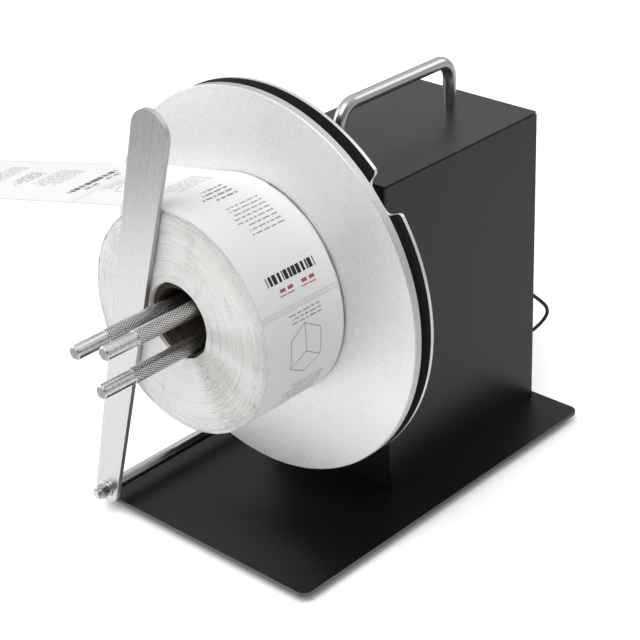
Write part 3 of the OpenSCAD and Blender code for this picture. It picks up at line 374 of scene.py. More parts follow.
table_half = 4.0
table_corners = [(x * table_half, y * table_half, floor_z) for x, y in ((-1, -1), (1, -1), (1, 1), (-1, 1))]
table_mesh = bpy.data.meshes.new("table")
table_mesh.from_pydata(table_corners, [], [(0, 1, 2, 3)])
table = bpy.data.objects.new("table", table_mesh)
bpy.context.scene.collection.objects.link(table)
table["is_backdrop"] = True

table_white = Finish("table_white", {"Roughness": 0.7, "Specular IOR Level": 0.2, "Emission Strength": 1.0})
x, y, _ = table_white.place()
off_x, off_y = x - home.x, y - home.y
ahead = home.x + home.y - x - y
near = table_white.span(ahead, 0.80, 0.97, 1.0, 0.15).least(table_white.span(ahead, -0.3, 0.0, 0.66, 1.0))
far = table_white.span((off_x * off_x + off_y * off_y) ** 0.5, 0.5, 1.2, 0.0, 0.6)
camera_ray, mirror_ray = rays(table_white)
white = 0.86 * (1 - 0.7 * mirror_ray * (1 - near))
# Painted shadow: the table's glow is cut where ambient occlusion finds the machine close by.
open_sky = table_white.add("ShaderNodeAmbientOcclusion", {"samples": 8}, {"Distance": 0.02}, out="AO")
unshaded = table_white.span(open_sky, 0.2, 0.9, 0.1, 0.5)
glow = camera_ray.most(mirror_ray * near) * unshaded + camera_ray * far
table_white.set({"Base Color": table_white.grey(white), "Emission Color": table_white.grey(glow)})
table_mesh.materials.append(table_white.material)
print("table", 2 * table_half, "m wide")

# %% Room
world = bpy.data.worlds.new("studio")
world.use_nodes = True
bpy.context.scene.world = world
room = NodeTree(world.node_tree, "ShaderNodeOutputWorld", "ShaderNodeBackground")
camera_ray, mirror_ray = rays(room)
x, y, z = room.place("Generated")
height = room.span(z, 0.0, 0.7)
dim_side = room.span(x - y, 0.0, 1.2, 1.0, 0.35)
room_light = (0.5 + 0.5 * mirror_ray * height) * dim_side
room.set({"Color": (1, 1, 1, 1), "Strength": camera_ray.most(room_light)})
print("room:", world.name)


# %% Lamps
def soft_box(name, place, aim, size, power):
    lamp = bpy.data.lights.new(name, "AREA")
    lamp.shape = "RECTANGLE"
    lamp.size, lamp.size_y = size
    lamp.energy = power
    holder = bpy.data.objects.new(name, lamp)
    holder.location = home + Vector(place)
    holder.rotation_mode = "QUATERNION"
    holder.rotation_quaternion = (Vector(aim) - Vector(place)).to_track_quat("-Z", "Y")
    bpy.context.scene.collection.objects.link(holder)


soft_box("top_box", (0.22, -0.75, 1.45), (0, 0, 0.1), (1.2, 1.2), 14.2)
soft_box("front_box", (-0.75, -0.95, 0.8), (0, 0, 0.15), (0.8, 0.8), 1.4)
soft_box("left_box", (-1.2, -0.5, 0.4), (0, 0, 0.15), (0.9, 0.9), 6.3)
soft_box("back_box", (0.6, 1.5, 1.2), (0, 0, 0.2), (1.0, 0.8), 4)
print("four soft boxes")

# %% [markdown]
# ## Black powder coat
#
# The housing and the base plate are sprayed with dry powder and baked. The coat is nearly black, matt, and
# has a fine skin like leather. A fine noise makes the skin as bump, and a wide one varies the gloss. The side
# faces of the base plate are painted a lighter grey, as a painted highlight along its edges.

# %% Powder coat
def powder_coat(name, tone, shine, gloss, painted_edge_light=0.0):
    finish = Finish(name, {"Specular IOR Level": shine})
    x, y, z = finish.place()
    fine = finish.noise(finish.vector(x * 1400, y * 1400, z * 1400), 2.0)
    wide = finish.noise(finish.vector(x * 14, y * 14, z * 14), 3.0)
    # Painted light: upright faces are made a lighter grey.
    edge = finish.span(abs(finish.place("Normal")[2]), 0.2, 0.6, painted_edge_light, 0.0)
    finish.set({
        "Base Color": finish.grey((tone + edge) * (0.8 + 0.27 * fine + 0.18 * wide)),
        "Roughness": finish.span(wide * 0.7 + fine * 0.3, 0.3, 0.7, gloss - 0.04, gloss + 0.05),
        "Normal": finish.bump(fine, 0.00006, 0.5, finish.soft_edges(0.0004)),
    })
    return finish


dress(
    powder_coat("powder_coat_housing", 0.009, 0.36, 0.34),
    "housing_shell", "top_cover", "rear_panel", "rod_block",
)
dress(powder_coat("powder_coat_base", 0.004, 0.21, 0.36, 0.12), "base_plate")

# %% [markdown]
# ## Blasted and turned alloy
#
# The front disc is turned and then blasted with fine grit, which leaves an even silver grey with a sparkle of
# tiny grains. Circles from the turning are left under the grains. They are too fine to see, but they spread
# reflections outwards, so that the disc shines in two opposite sectors, as turned metal does. Shading that
# depends on direction can't be baked, so the circles are made as bump. The rim is turned plain and is greyer.
# The cam disc behind it is black on its faces and bright where it was cut: on its rim and in its finger
# notches. The cut edges lie between the two faces, so the place along the spindle tells them apart. Hubs and
# collars are turned on a lathe, and their marks run in circles round the spindle.

# %% Front disc
def spindle_polar(finish):
    """Distance from the spindle's axis, angle round it and place along it."""
    x, y, z = finish.place()
    side, height = x - spindle.x, z - spindle.z
    distance = (side * side + height * height) ** 0.5
    angle = distance.math("ARCTAN2", height, side)
    return distance, angle, y


blasted = Finish("blasted_alloy", {"Metallic": 1.0})
x, y, z = blasted.place()
distance = spindle_polar(blasted)[0]
grain = blasted.noise(blasted.vector(x * 1800, y * 1800, z * 1800), 2.0, 0.7)
cloud = blasted.noise(blasted.vector(x * 9, y * 9, z * 9), 2.0)
rings = blasted.noise(blasted.vector(distance * 4000, x * 6, z * 6), 1.0)
rim = blasted.span(abs(blasted.place("Normal")[1]), 0.75, 0.95, 1.0, 0.0)
tone = blasted.span(grain * 0.8 + cloud * 0.2, 0.32, 0.68, 0.47, 1.07) - 0.5 * rim
blasted.set({
    "Base Color": blasted.shade(tone, (0.43, 0.435, 0.435), (0.915, 0.92, 0.92)),
    "Roughness": blasted.span(grain, 0.3, 0.7, 0.44, 0.56),
    "Normal": blasted.bump(
        rings, 0.00008, 1.0, blasted.bump(grain, 0.0001, 0.6, blasted.soft_edges(0.0003)),
    ),
})
dress(blasted, "front_disc")

# %% Turned hubs
turned = Finish("turned_alloy", {"Metallic": 1.0})
distance, angle, along = spindle_polar(turned)
marks = turned.noise(turned.vector(distance * 2600, angle * 1.5, along * 300), 3.0, 0.65)
turned.set({
    "Base Color": turned.shade(marks, (0.62, 0.63, 0.64), (0.82, 0.83, 0.84)),
    "Roughness": turned.span(marks, 0.3, 0.7, 0.24, 0.36),
    "Normal": turned.bump(marks, 0.00005, 0.35, turned.soft_edges(0.0003)),
})
dress(turned, "cam_hub", "bearing_housing", "cam_collar", "shaft_coupling", "spindle_shaft", "disc_washer")

# %% Cam disc
cam_low, cam_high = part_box("cam_disc")
cam_middle, cam_half = (cam_low.y + cam_high.y) / 2, (cam_high.y - cam_low.y) / 2
blacked = Finish("blacked_disc", {"Specular IOR Level": 0.4})
distance, angle, along = spindle_polar(blacked)
cut_edge = blacked.span(abs(along - cam_middle), cam_half - 0.12 * MM, cam_half - 0.08 * MM, 1.0, 0.0)
circles = blacked.noise(blacked.vector(distance * 1800, angle * 1.2, along * 200), 3.0, 0.6)
tone = cut_edge * (0.75 + 0.25 * circles) + (1 - cut_edge) * circles * 0.03
blacked.set({
    "Base Color": blacked.shade(tone, (0.014, 0.014, 0.014), (0.80, 0.81, 0.82)),
    "Metallic": cut_edge,
    "Roughness": blacked.span(circles, 0.3, 0.7, 0.32, 0.42),
    "Normal": blacked.bump(circles, 0.00004, 0.3),
})
dress(blacked, "cam_disc")

# %% [markdown]
# ## Brushed steel
#
# The guide arm is cut from sheet that was brushed along its length, and it carries fine straight streaks. The
# guide rod and the handle are drawn bar, brushed the same way. A noise that is stretched along the piece
# gives the streaks, so each piece needs its own long direction. The handle is bent, so its streaks are laid by
# the distance from the bends: they run straight on the grip and the legs and curve round the corners.

# %% Arm and rod
def streaks(finish, lengthwise, side, other):
    """Fine streaks and broader bands, from the place along the piece and two places across it."""
    fine = finish.noise(finish.vector(lengthwise * 12, side * 2400, other * 2400), 2.0, 0.6)
    broad = finish.noise(finish.vector(lengthwise * 2.5, side * 260, other * 260), 2.0)
    return fine, broad


def streaks_along(finish, long_axis):
    """Streaks along a straight piece; long_axis is a direction in the model's frame."""
    x, y, z = finish.place()
    a = Vector(long_axis).normalized()
    b = a.orthogonal().normalized()
    return streaks(finish, *(x * v.x + y * v.y + z * v.z for v in (a, b, a.cross(b))))


def brush(finish, fine, broad, low, high, gloss, dull=0.0):
    finish.set({
        "Metallic": 1.0,
        "Base Color": finish.shade(finish.span(fine * 0.35 + broad * 0.65, 0.3, 0.7), low, high),
        "Roughness": finish.span(fine, 0.3, 0.7, gloss - 0.03, gloss + 0.04) + dull,
        "Normal": finish.bump(fine, 0.00002, 0.25, finish.soft_edges(0.0003)),
    })
    return finish


arm_lean = math.radians(15)
arm_steel = Finish("brushed_arm_steel", {})
arm_streaks = streaks_along(arm_steel, (math.sin(arm_lean), 0, math.cos(arm_lean)))
dull_edge = arm_steel.span(abs(arm_steel.place("Normal")[1]), 0.3, 0.7, 0.2, 0.0)
dress(brush(arm_steel, *arm_streaks, (0.51, 0.52, 0.52), (0.55, 0.56, 0.56), 0.27, dull_edge), "guide_arm")

rod_steel = Finish("brushed_rod_steel", {})
rod_streaks = streaks_along(rod_steel, (0, 1, 0))
dress(brush(rod_steel, *rod_streaks, (0.50, 0.505, 0.51), (0.59, 0.595, 0.60), 0.22), "guide_rod")

# %% Handle
handle_low, handle_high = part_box("handle")
handle_r, bend_r = (handle_high.x - handle_low.x) / 2, 12 * MM
bend_y = (handle_high.y - handle_low.y) / 2 - handle_r - bend_r
bend_z = handle_high.z - handle_r - bend_r
handle_steel = Finish("brushed_handle_steel", {})
x, y, z = handle_steel.place()
past_side = (abs(y - (handle_low.y + handle_high.y) / 2) - bend_y).most(0.0)
past_top = (z - bend_z).most(0.0)
from_bend = (past_side * past_side + past_top * past_top) ** 0.5
handle_streaks = streaks(handle_steel, y + z, x, from_bend)
dress(brush(handle_steel, *handle_streaks, (0.42, 0.415, 0.405), (0.52, 0.515, 0.50), 0.26), "handle")

# %% [markdown]
# ## Knurled posts
#
# Each post is rolled between wheels that press two sets of crossing grooves into it, and its tip is turned
# plain. Two sine waves that wind opposite ways round the post give the grooves. Where either is near zero
# there is a groove, so the smaller of the two is the height of the diamonds between them. The grooves are
# painted nearly black, as painted shade, and the end of the tip and its chamfers are painted darker than
# its side, as painted shade too.

# %% Knurl
tip_len, shoulder_r = 23 * MM, 4.4 * MM
grooves, pitch = 20, 2.5 * MM


def knurled(name, node):
    low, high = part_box(node)
    middle = (low + high) / 2
    finish = Finish(name, {"Metallic": 1.0})
    x, y, z = finish.place()
    side, height = x - middle.x, z - middle.z
    angle = side.math("ARCTAN2", height, side)
    around, wind = angle * (grooves / 2), y * (math.pi / pitch)
    diamonds = abs((around + wind).sine()).least(abs((around - wind).sine()))
    distance = (side * side + height * height) ** 0.5
    knurl_zone = y.above(low.y + tip_len) * distance.above(shoulder_r)
    turned_marks = finish.noise(finish.vector(y * 1300, angle * 0.5, distance * 1300), 2.0, 0.7)
    end_face = finish.span(abs(finish.place("Normal")[1]), 0.4, 0.9)
    relief = diamonds.least(0.6) * knurl_zone + (1 - knurl_zone) * turned_marks * 0.12
    # Painted shade: the end face and chamfers of the tip are darkened.
    plain = 0.46 + turned_marks * 0.6 - end_face * 0.40
    # Painted shade: the grooves between the diamonds are darkened nearly to black.
    tone = knurl_zone * finish.span(diamonds, 0.12, 0.5) + (1 - knurl_zone) * plain
    finish.set({
        "Base Color": finish.shade(tone, (0.035, 0.035, 0.035), (0.76, 0.75, 0.74)),
        "Roughness": 0.25 + 0.12 * end_face,
        "Normal": finish.bump(relief, 0.0005, 0.9),
    })
    return finish


for k in (1, 2, 3):
    dress(knurled(f"knurled_post_{k}", f"post_{k}"), f"post_{k}")

# %% [markdown]
# ## Small metal parts
#
# Screws, nut and washers are plated with zinc, which is bright with a faint mottle. Inner steel parts are
# milled or ground. One recipe with different colours serves all of them.

# %% Plated and milled parts
def mottled_metal(name, low, high, gloss, size, edge_highlight=0.0):
    """edge_highlight is how much brighter the metal is painted on its edges: a painted highlight where the
    chamfers catch the light.
    """
    finish = Finish(name, {"Metallic": 1.0})
    x, y, z = finish.place()
    mottle = finish.noise(finish.vector(x * size, y * size, z * size), 4.0, 0.6)
    fine = finish.noise(finish.vector(x * size * 9, y * size * 9, z * size * 9), 2.0)
    rounded = finish.soft_edges(0.0004 if edge_highlight else 0.0002)
    flat = finish.add("ShaderNodeNewGeometry", out="Normal")
    level = finish.add("ShaderNodeVectorMath", {"operation": "DOT_PRODUCT"}, {0: rounded, 1: flat}, out="Value")
    # Painted highlight: the metal is made brighter on its rounded edges.
    tone = finish.span(mottle, 0.3, 0.7, 0.0, 1.0 - edge_highlight) + finish.span(level, 0.8, 0.98, edge_highlight, 0.0)
    finish.set({
        "Base Color": finish.shade(tone, low, high),
        "Roughness": finish.span(mottle * 0.6 + fine * 0.4, 0.3, 0.7, gloss - 0.05, gloss + 0.08),
        "Normal": finish.bump(fine, 0.00003, 0.4, rounded),
    })
    return finish


dress(
    mottled_metal("zinc_plate", (0.40, 0.40, 0.39), (0.84, 0.84, 0.83), 0.19, 320),
    "arm_washer", "foot_screws", "shell_screws", "handle_screws", "bearing_screws", "spacer_screws",
    "gearbox_screws", "rod_block_screws", "cam_hub_screws",
)
dress(mottled_metal("nut_steel", (0.24, 0.24, 0.24), (0.86, 0.86, 0.85), 0.16, 320, 0.75), "arm_nut")
dress(
    mottled_metal("black_oxide", (0.03, 0.03, 0.03), (0.07, 0.07, 0.07), 0.38, 300),
    "panel_screws", "disc_screw",
)
dress(
    mottled_metal("milled_steel", (0.36, 0.37, 0.38), (0.52, 0.53, 0.54), 0.36, 180),
    "slider_1", "slider_2", "slider_3", "bearing_front", "bearing_rear", "gearbox_shaft", "knob_shaft",
    "speed_pot",
)
dress(
    mottled_metal("sawn_alloy", (0.48, 0.49, 0.50), (0.66, 0.67, 0.68), 0.42, 120),
    "motor_plate", "motor_spacers",
)
dress(mottled_metal("standoff_brass", (0.60, 0.45, 0.16), (0.74, 0.58, 0.24), 0.34, 200), "board_standoffs")

# %% [markdown]
# ## Plastic and rubber
#
# The feet, the grommet and the lead's jacket are soft black rubber; the switches, the knob and the connector
# are moulded black plastic. They differ in gloss and in how coarse their skin is.

# %% Moulded parts
def moulded(name, low, high, gloss, size, depth):
    finish = Finish(name, {"Specular IOR Level": 0.45})
    x, y, z = finish.place()
    skin = finish.noise(finish.vector(x * size, y * size, z * size), 3.0)
    bloom = finish.noise(finish.vector(x * 60, y * 60, z * 60), 2.0)
    finish.set({
        "Base Color": finish.shade(finish.span(skin * 0.5 + bloom * 0.5, 0.3, 0.7), low, high),
        "Roughness": finish.span(bloom, 0.3, 0.7, gloss - 0.05, gloss + 0.07),
        "Normal": finish.bump(skin, depth, 0.5),
    })
    return finish


dress(
    moulded("foot_rubber", (0.012, 0.012, 0.012), (0.03, 0.03, 0.03), 0.75, 900, 0.0001),
    "rubber_feet", "lead_grommet",
)
jacket = moulded("lead_jacket", (0.010, 0.010, 0.010), (0.022, 0.022, 0.022), 0.5, 1200, 0.00005)
lead_curve.materials.append(jacket.material)
dress(
    moulded("switch_plastic", (0.012, 0.012, 0.012), (0.024, 0.024, 0.024), 0.45, 1600, 0.00005),
    "power_switch_body", "direction_switch_body", "lead_connector", "lead_tie",
)
dress(
    moulded("rocker_plastic", (0.010, 0.010, 0.010), (0.018, 0.018, 0.018), 0.28, 700, 0.00002),
    "power_rocker", "direction_rocker", "speed_knob",
)
dress(moulded("motor_paint", (0.05, 0.055, 0.06), (0.09, 0.095, 0.10), 0.4, 500, 0.00004), "motor", "gearbox")
dress(moulded("board_resist", (0.02, 0.13, 0.05), (0.04, 0.2, 0.08), 0.3, 700, 0.00003), "control_board")

# %% [markdown]
# ## The wound roll
#
# Each turn of the web ends at a slightly different place, so the side of the roll shows fine rings, and
# where turns were pushed about by hand they look feathered. A flat ring with drawn lines would look
# printed. The roll is built ring by ring instead, as a lathe shape whose rings step in and out by a few
# tenths of a millimetre and sway on their way round. Its rim and the mouth of its bore sway most. Shade is
# painted into two sectors of the side, where it would lie if they were pushed in, and light is painted into
# a lower sector. At the edge of the larger shaded sector the turns are creased.

# %% Papers and inks
def paper(name, low, high, gloss):
    finish = Finish(name, {"Specular IOR Level": 0.22})
    x, y, z = finish.place()
    fibre = finish.noise(finish.vector(x * 700, y * 700, z * 700), 3.0, 0.6)
    cloud = finish.noise(finish.vector(x * 30, y * 30, z * 30), 2.0)
    finish.set({
        "Base Color": finish.shade(fibre * 0.5 + cloud * 0.5, low, high),
        "Roughness": finish.span(fibre, 0.3, 0.7, gloss - 0.04, gloss + 0.05),
        "Normal": finish.bump(fibre, 0.00003, 0.4),
    })
    return finish


backing_paper = paper("backing_paper", (0.76, 0.76, 0.755), (0.83, 0.83, 0.825), 0.5)
label_white = paper("label_white", (0.84, 0.84, 0.85), (0.88, 0.88, 0.885), 0.6)
cut_line = paper("cut_line", (0.50, 0.50, 0.50), (0.60, 0.60, 0.60), 0.5)
ink_black = paper("ink_black", (0.015, 0.015, 0.015), (0.035, 0.035, 0.035), 0.4)
ink_grey = paper("ink_grey", (0.24, 0.24, 0.24), (0.34, 0.34, 0.34), 0.42)
ink_red = paper("ink_red", (0.36, 0.09, 0.09), (0.46, 0.13, 0.12), 0.42)
print("two papers, a cut line and three inks")

# %% Side of the roll
paper_side = Finish("paper_side", {"Specular IOR Level": 0.3})
x, _, z = paper_side.place()
side, height = x - spindle.x, z - spindle.z
distance = (side * side + height * height) ** 0.5
toward_x, toward_z = side / distance, height / distance


def round_the_roll(across, around):
    """Noise with its own scale across the turns and around them, without a seam."""
    place = paper_side.vector(distance * across, toward_x * around, toward_z * around)
    return paper_side.noise(place, 3.0, 0.65)


def sector(middle, half):
    """Fades from 1 in the middle of a sector of the roll's side to 0 at its ends, in degrees."""
    turn = math.radians(middle)
    facing = toward_x * math.cos(turn) + toward_z * math.sin(turn)
    return paper_side.span(facing, math.cos(math.radians(half)), 1.0)


windings = round_the_roll(2400, 1.5)
feathers = paper_side.span(round_the_roll(1500, 26), 0.52, 0.72)
creased = 0.75 * sector(-54, 14) * paper_side.span(round_the_roll(1000, 9), 0.48, 0.62)
# Painted shade: two sectors of the side are darkened.
painted_shade_sectors = 0.28 * sector(2, 14) + paper_side.span(distance, core_r, roll_r, 0.48, 0.12) * sector(-41, 25)
patches = paper_side.span(round_the_roll(45, 2.2), 0.42, 0.62)
bands = paper_side.span(round_the_roll(14, 3.2), 0.53, 0.64)
rim_band_w = 13 * MM
rim_band = paper_side.span(distance, roll_r - rim_band_w, roll_r, 0.0, 0.9)
rough = (feathers * patches.most(bands).most(rim_band)).most(creased)
# The rim band is painted darker all round, and painted shade darkens it more at the upper right.
rim_shade = rim_band * (0.12 + 0.4 * sector(60, 45))
shade = 1 - 0.6 * paper_side.span(windings, 0.42, 0.72) - 0.9 * rough - 0.1 * bands - rim_shade
# Painted light: a lower sector of the side is brightened.
painted_light_sector = 0.2 * sector(-95, 35)
paper_side.set({
    "Base Color": paper_side.shade(shade - painted_shade_sectors + painted_light_sector, (0.50, 0.50, 0.48), (0.89, 0.885, 0.87)),
    "Roughness": paper_side.span(windings, 0.3, 0.7, 0.6, 0.75),
    "Normal": paper_side.bump(windings * 0.5 - rough, 0.0003, 0.7),
})
print(paper_side.material.name, "with", len(paper_side.tree.nodes), "shader nodes")


# %% Sway of the turns
shake = random.Random(7)


def sway_of(size, waves):
    """A function of the angle that sways between 0 and size, with the given waves per turn."""
    phases = [shake.uniform(0, 2 * math.pi) for _ in waves]

    def sway(turn):
        total = sum(math.sin(n * turn + f) for n, f in zip(waves, phases))
        return size * (0.5 + 0.5 * total / len(waves))

    return sway


segments, ring_count = 180, 90
bore_fit, mouth_size, step_size, step_kept = 0.05 * MM, 1.3 * MM, 0.12, 0.82
bore_r = core_r + bore_fit
rim_sway, back_sway = sway_of(1.9 * MM, (5, 9, 16, 27, 41)), sway_of(1.0 * MM, (2, 5, 9, 14, 23))
mouth_sway = sway_of(mouth_size, (3, 5, 8, 13))
drift = [0.0]
for _ in range(ring_count - 1):
    drift.append(step_kept * drift[-1] + shake.uniform(-step_size, step_size) * MM)
drift = [d - min(drift) for d in drift]
slow_sway = [sway_of(0.5 * MM, (1, 2, 3, 5)) for _ in range(6)]
print("turns step in by up to", round(max(drift) / MM, 2), "mm")


# %% Wind the roll
def new_piece(name, points, faces, finishes, body, kinds=None):
    """A smooth mesh that rides on a body. kinds gives each face's place in finishes."""
    mesh = bpy.data.meshes.new(name)
    mesh.from_pydata(points, [], faces)
    for finish in finishes:
        mesh.materials.append(finish.material)
    mesh.polygons.foreach_set("use_smooth", [True] * len(faces))
    if kinds:
        mesh.polygons.foreach_set("material_index", kinds)
    mesh.update()
    piece = bpy.data.objects.new(name, mesh)
    bpy.context.scene.collection.objects.link(piece)
    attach(piece, body)
    return piece


mouth_turn, rim_steep, bore_steep, lip = 2.4, 12, 25, 6 * MM
points, faces, kinds = [], [], []
for i in range(ring_count):
    part = i / (ring_count - 1)
    near_rim, near_bore = max(0.0, 1 - (1 - part) * rim_steep), max(0.0, 1 - part * bore_steep)
    for j in range(segments):
        turn = 2 * math.pi * j / segments
        mouth = mouth_size * math.cos(turn - mouth_turn) - mouth_sway(turn)
        radius = bore_r + (roll_r - bore_r) * part + near_bore * mouth
        at = part * (len(slow_sway) - 1.001)
        k = int(at)
        slow = slow_sway[k](turn) * (1 - at + k) + slow_sway[k + 1](turn) * (at - k)
        depth = drift[i] + slow + near_rim * rim_sway(turn) + near_bore * 0.5 * mouth_sway(turn)
        points.append(spindle + Vector((radius * math.cos(turn), depth - roll_w / 2, radius * math.sin(turn))))
for radius, swaying in ((roll_r, back_sway), (bore_r, back_sway), (bore_r, None)):
    for j in range(segments):
        turn = 2 * math.pi * j / segments
        y = roll_w / 2 - swaying(turn) if swaying else lip - roll_w / 2
        points.append(spindle + Vector((radius * math.cos(turn), y, radius * math.sin(turn))))
loops = [i * segments for i in range(ring_count + 3)]
for i, (a, b) in enumerate(zip(loops, loops[1:] + loops[:1])):
    for j in range(segments):
        n = (j + 1) % segments
        faces.append((a + j, a + n, b + n, b + j))
        kinds.append(1 if i == ring_count - 1 else 0)
roll_finishes = [paper_side, backing_paper]
wound_roll = new_piece("wound_roll", points, faces, roll_finishes, "spindle", kinds)
edges = {0, ring_count - 1, ring_count, ring_count + 1}
sharp = wound_roll.data.attributes.new("sharp_edge", "BOOLEAN", "EDGE")
sharp.data.foreach_set("value", [
    e.vertices[0] // segments == e.vertices[1] // segments and e.vertices[0] // segments in edges
    for e in wound_roll.data.edges
])
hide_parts("label_roll")
print("roll of", ring_count, "rings")

# %% [markdown]
# ## Web and labels
#
# The web is a strip of backing paper with die-cut labels on it. It comes in from the left, touches the roll at
# the top and settles onto it. Its free end is twisted a little, so that its edge at the disc is higher. One
# function gives any point of the strip: along it, across it, and above its surface. Labels and print are laid
# on as thin patches with that function, so they follow the strip exactly and keep crisp edges from any side.
# The print is a plain design: a row of bars, red dashes, lines of small grey marks and a line drawing of a box.

# %% A point on the web
web_slope = math.radians(13.4)
web_rise, web_len, web_wrap = 0.55 * MM, 236 * MM, 30 * MM
web_tilt, web_twist = 2.4 * MM, 70 * MM
touch_angle = math.pi / 2 + web_slope
outward = Vector((math.cos(touch_angle), 0, math.sin(touch_angle)))
leaving = Vector((-math.cos(web_slope), 0, -math.sin(web_slope)))


def ease(part):
    """A smooth step from 0 to 1."""
    part = min(1.0, max(0.0, part))
    return part * part * (3 - 2 * part)


def web_point(along, over, lift):
    """along > 0 lies on the free web, along < 0 on the roll; over counts from the disc to the front."""
    start = spindle + Vector((0, roll_w / 2 - over, 0))
    if along >= 0:
        tilt = web_tilt * ease(along / web_twist) * (1 - over / roll_w)
        return start + outward * (roll_r + web_rise + tilt + lift) + leaving * along
    rise = web_rise * (1 - ease(-along / web_wrap))
    angle = touch_angle + along / roll_r
    return start + (roll_r + rise + lift) * Vector((math.cos(angle), 0, math.sin(angle)))


print("free web", round(web_len, 3), "m, on the roll", round(web_wrap, 3), "m")

# %% Patches that follow the web
long_patch, long_steps, short_steps = 12 * MM, 60, 4
corner_steps = (0.08, 0.2, 0.4, 0.65, 1.0)
shortest, stroke_step = 0.01 * MM, 2 * MM


def strip(start, end, low, high, lift, corner=0.0):
    """Points and faces of a patch from start to end along the web, and from low to high across it."""
    grid = {start, end}
    for steps in (long_steps, short_steps) if end - start > long_patch else (short_steps,):
        grid.update(start + (end - start) * i / steps for i in range(steps + 1))
    for d in corner_steps:
        grid.update((start + d * corner, end - d * corner))
    places = sorted(p for p in grid if start <= p <= end)
    rows = []
    for p in places:
        d = min(p - start, end - p)
        pull = corner - math.sqrt(max(0.0, corner ** 2 - (corner - d) ** 2)) if d < corner else 0.0
        rows.append((web_point(p, low + pull, lift), web_point(p, high - pull, lift)))
    corners = [p for row in rows for p in row]
    quads = [(2 * i, 2 * i + 2, 2 * i + 3, 2 * i + 1) for i in range(len(rows) - 1)]
    return corners, quads


class Patches:
    """Patches of one finish, gathered into one piece for the free web and one for the roll."""

    def __init__(self, name, finish):
        self.name, self.finish = name, finish
        self.parts = {"web": ([], []), "roll": ([], [])}

    def gather(self, side, new_points, new_faces):
        points, faces = self.parts[side]
        shift = len(points)
        points += new_points
        faces += [tuple(i + shift for i in f) for f in new_faces]

    def lay(self, start, end, low, high, lift, corner=0.0):
        for side, a, b in (("roll", start, min(end, -web_wrap)), ("web", max(start, -web_wrap), end)):
            if b - a > shortest:
                rounded = corner if (a, b) == (start, end) else 0.0
                self.gather(side, *strip(a, b, low, high, lift, rounded))

    def draw(self, a, b, width, lift):
        """A straight stroke between two points (along, over) of the web."""
        side = "web" if min(a[0], b[0]) > -web_wrap else "roll"
        run = Vector((b[0] - a[0], b[1] - a[1]))
        across = Vector((-run.y, run.x)).normalized() * width / 2
        steps = max(1, round(run.length / stroke_step))
        points = []
        for i in range(steps + 1):
            middle = Vector(a) + run * i / steps
            points += [web_point(*(middle + across), lift), web_point(*(middle - across), lift)]
        self.gather(side, points, [(2 * i, 2 * i + 1, 2 * i + 3, 2 * i + 2) for i in range(steps)])

    def make(self):
        made = []
        for side, body in (("web", "stand"), ("roll", "spindle")):
            points, faces = self.parts[side]
            if faces:
                name = f"{self.name}_on_{side}"
                made.append(new_piece(name, points, faces, [self.finish], body))
        return made


print("long patches have", long_steps, "steps")

# %% Design of a label
backing = Patches("backing", backing_paper)
outlines = Patches("label_outlines", cut_line)
labels = Patches("labels", label_white)
black_print = Patches("black_print", ink_black)
grey_print = Patches("grey_print", ink_grey)
red_print = Patches("red_print", ink_red)

label_pitch, label_gap, label_margin, label_corner = 175 * MM, 3 * MM, 1.4 * MM, 3 * MM
first_gap = -103 * MM
base_lift, outline_lift, label_lift, ink_lift = (h * MM for h in (0.02, 0.05, 0.08, 0.14))
outline_w, stroke_w = 0.25 * MM, 0.45 * MM
covered_share = 0.97
around_roll = -2 * math.pi * roll_r * covered_share


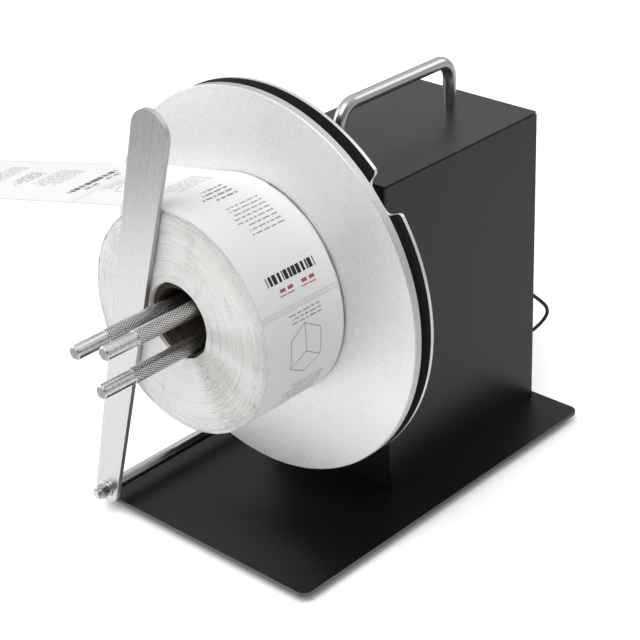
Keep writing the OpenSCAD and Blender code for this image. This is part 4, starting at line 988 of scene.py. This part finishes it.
def print_label(start):
    """One label's design, in millimetres from the label's first edge and from the disc side."""
    marks = random.Random(3)

    def fits(*places):
        inside = [around_roll < start + a * MM < web_len for a in places]
        return all(inside) and len({start + a * MM > -web_wrap for a in places}) == 1

    def put(patches, a, b, low, high):
        if fits(a, b):
            patches.lay(start + a * MM, start + b * MM, low * MM, high * MM, ink_lift)

    def draw(patches, *corners):
        if fits(*(a for a, _ in corners)):
            spots = [(start + a * MM, b * MM) for a, b in corners]
            for p, q in zip(spots, spots[1:]):
                patches.draw(p, q, stroke_w, ink_lift)

    def small_lines(first, count, pitch, size, low, high):
        for i in range(count):
            place, end = low, high - marks.uniform(0, 10)
            while place < end:
                word = marks.uniform(1.5, 6.0)
                put(grey_print, first + i * pitch, first + i * pitch + size, place, min(place + word, end))
                place += word + 1.2

    place = 12.0
    while place < 50:
        bar = marks.choice((0.7, 0.7, 1.2, 2.0, 2.8))
        put(black_print, 14, 19.5, place, place + bar)
        place += bar + marks.choice((0.6, 0.9, 1.4))
    for low in (16, 22, 33, 39):
        put(red_print, 8.5, 10.5, low, low + 4.2)
        put(red_print, 6.4, 7.0, low, low + 5.4)
    small_lines(44, 8, 3.2, 0.8, 14, 46)
    small_lines(76, 4, 4.2, 1.6, 20, 46)
    small_lines(104, 7, 2.8, 0.7, 12, 44)
    top, left, right, middle = (130, 32), (137, 44), (137, 20), (144, 32)
    low_left, low_right, bottom = (155, 44), (155, 20), (162, 32)
    draw(grey_print, top, left, low_left, bottom, low_right, right, top)
    draw(grey_print, left, middle, right)
    draw(grey_print, middle, bottom)
    small_lines(164, 3, 2.4, 0.7, 18, 44)


print("labels every", round(label_pitch / MM), "mm")

# %% Lay the web, the labels and the print
backing.lay(-web_wrap, web_len, 0.0, roll_w, base_lift)
for k in (-3, -2, -1, 0, 1):
    start = first_gap + k * label_pitch + label_gap / 2
    end = start + label_pitch - label_gap
    for patches, rim, lift in ((outlines, outline_w, outline_lift), (labels, 0.0, label_lift)):
        patches.lay(
            max(start - rim, around_roll), min(end + rim, web_len),
            label_margin - rim, roll_w - label_margin + rim, lift, label_corner + rim,
        )
    print_label(start)
layers = (backing, outlines, labels, black_print, grey_print, red_print)
laid = [piece for patches in layers for piece in patches.make()]
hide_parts("label_web")
print("web pieces:", ", ".join(p.name for p in laid))

# %% [markdown]
# ## The core
#
# The core is a tube of brown board, wound from strips at a slant. It lies inside the roll, and its colour is
# painted very dark, as painted shade.

# %% Core board
board = Finish("core_board", {"Specular IOR Level": 0.2})
distance, angle, along = spindle_polar(board)
fibres = board.noise(board.vector(distance * 900, angle * 18, along * 260), 4.0, 0.65)
seam = board.span(abs((angle * 0.5 + along * 60).sine()), 0.0, 0.03, 0.6, 1.0)
tone = board.span(fibres, 0.3, 0.7) * seam
# Painted shade: the board's brown is made very dark.
board.set({
    "Base Color": board.shade(tone, (0.040, 0.027, 0.019), (0.095, 0.068, 0.048)),
    "Roughness": board.span(fibres, 0.3, 0.7, 0.75, 0.88),
    "Normal": board.bump(fibres, 0.0002, 0.5),
})
dress(board, "label_core")

# %% [markdown]
# ## Closing
#
# The dressed machine has to keep the size of its construction model, so both boxes are written down side by
# side.

# %% Write the sizes and finish
dressed_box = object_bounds()
for title, corners in (("cad", cad_box), ("visual", dressed_box)):
    print(title, [[round(v, 4) for v in corner] for corner in corners])
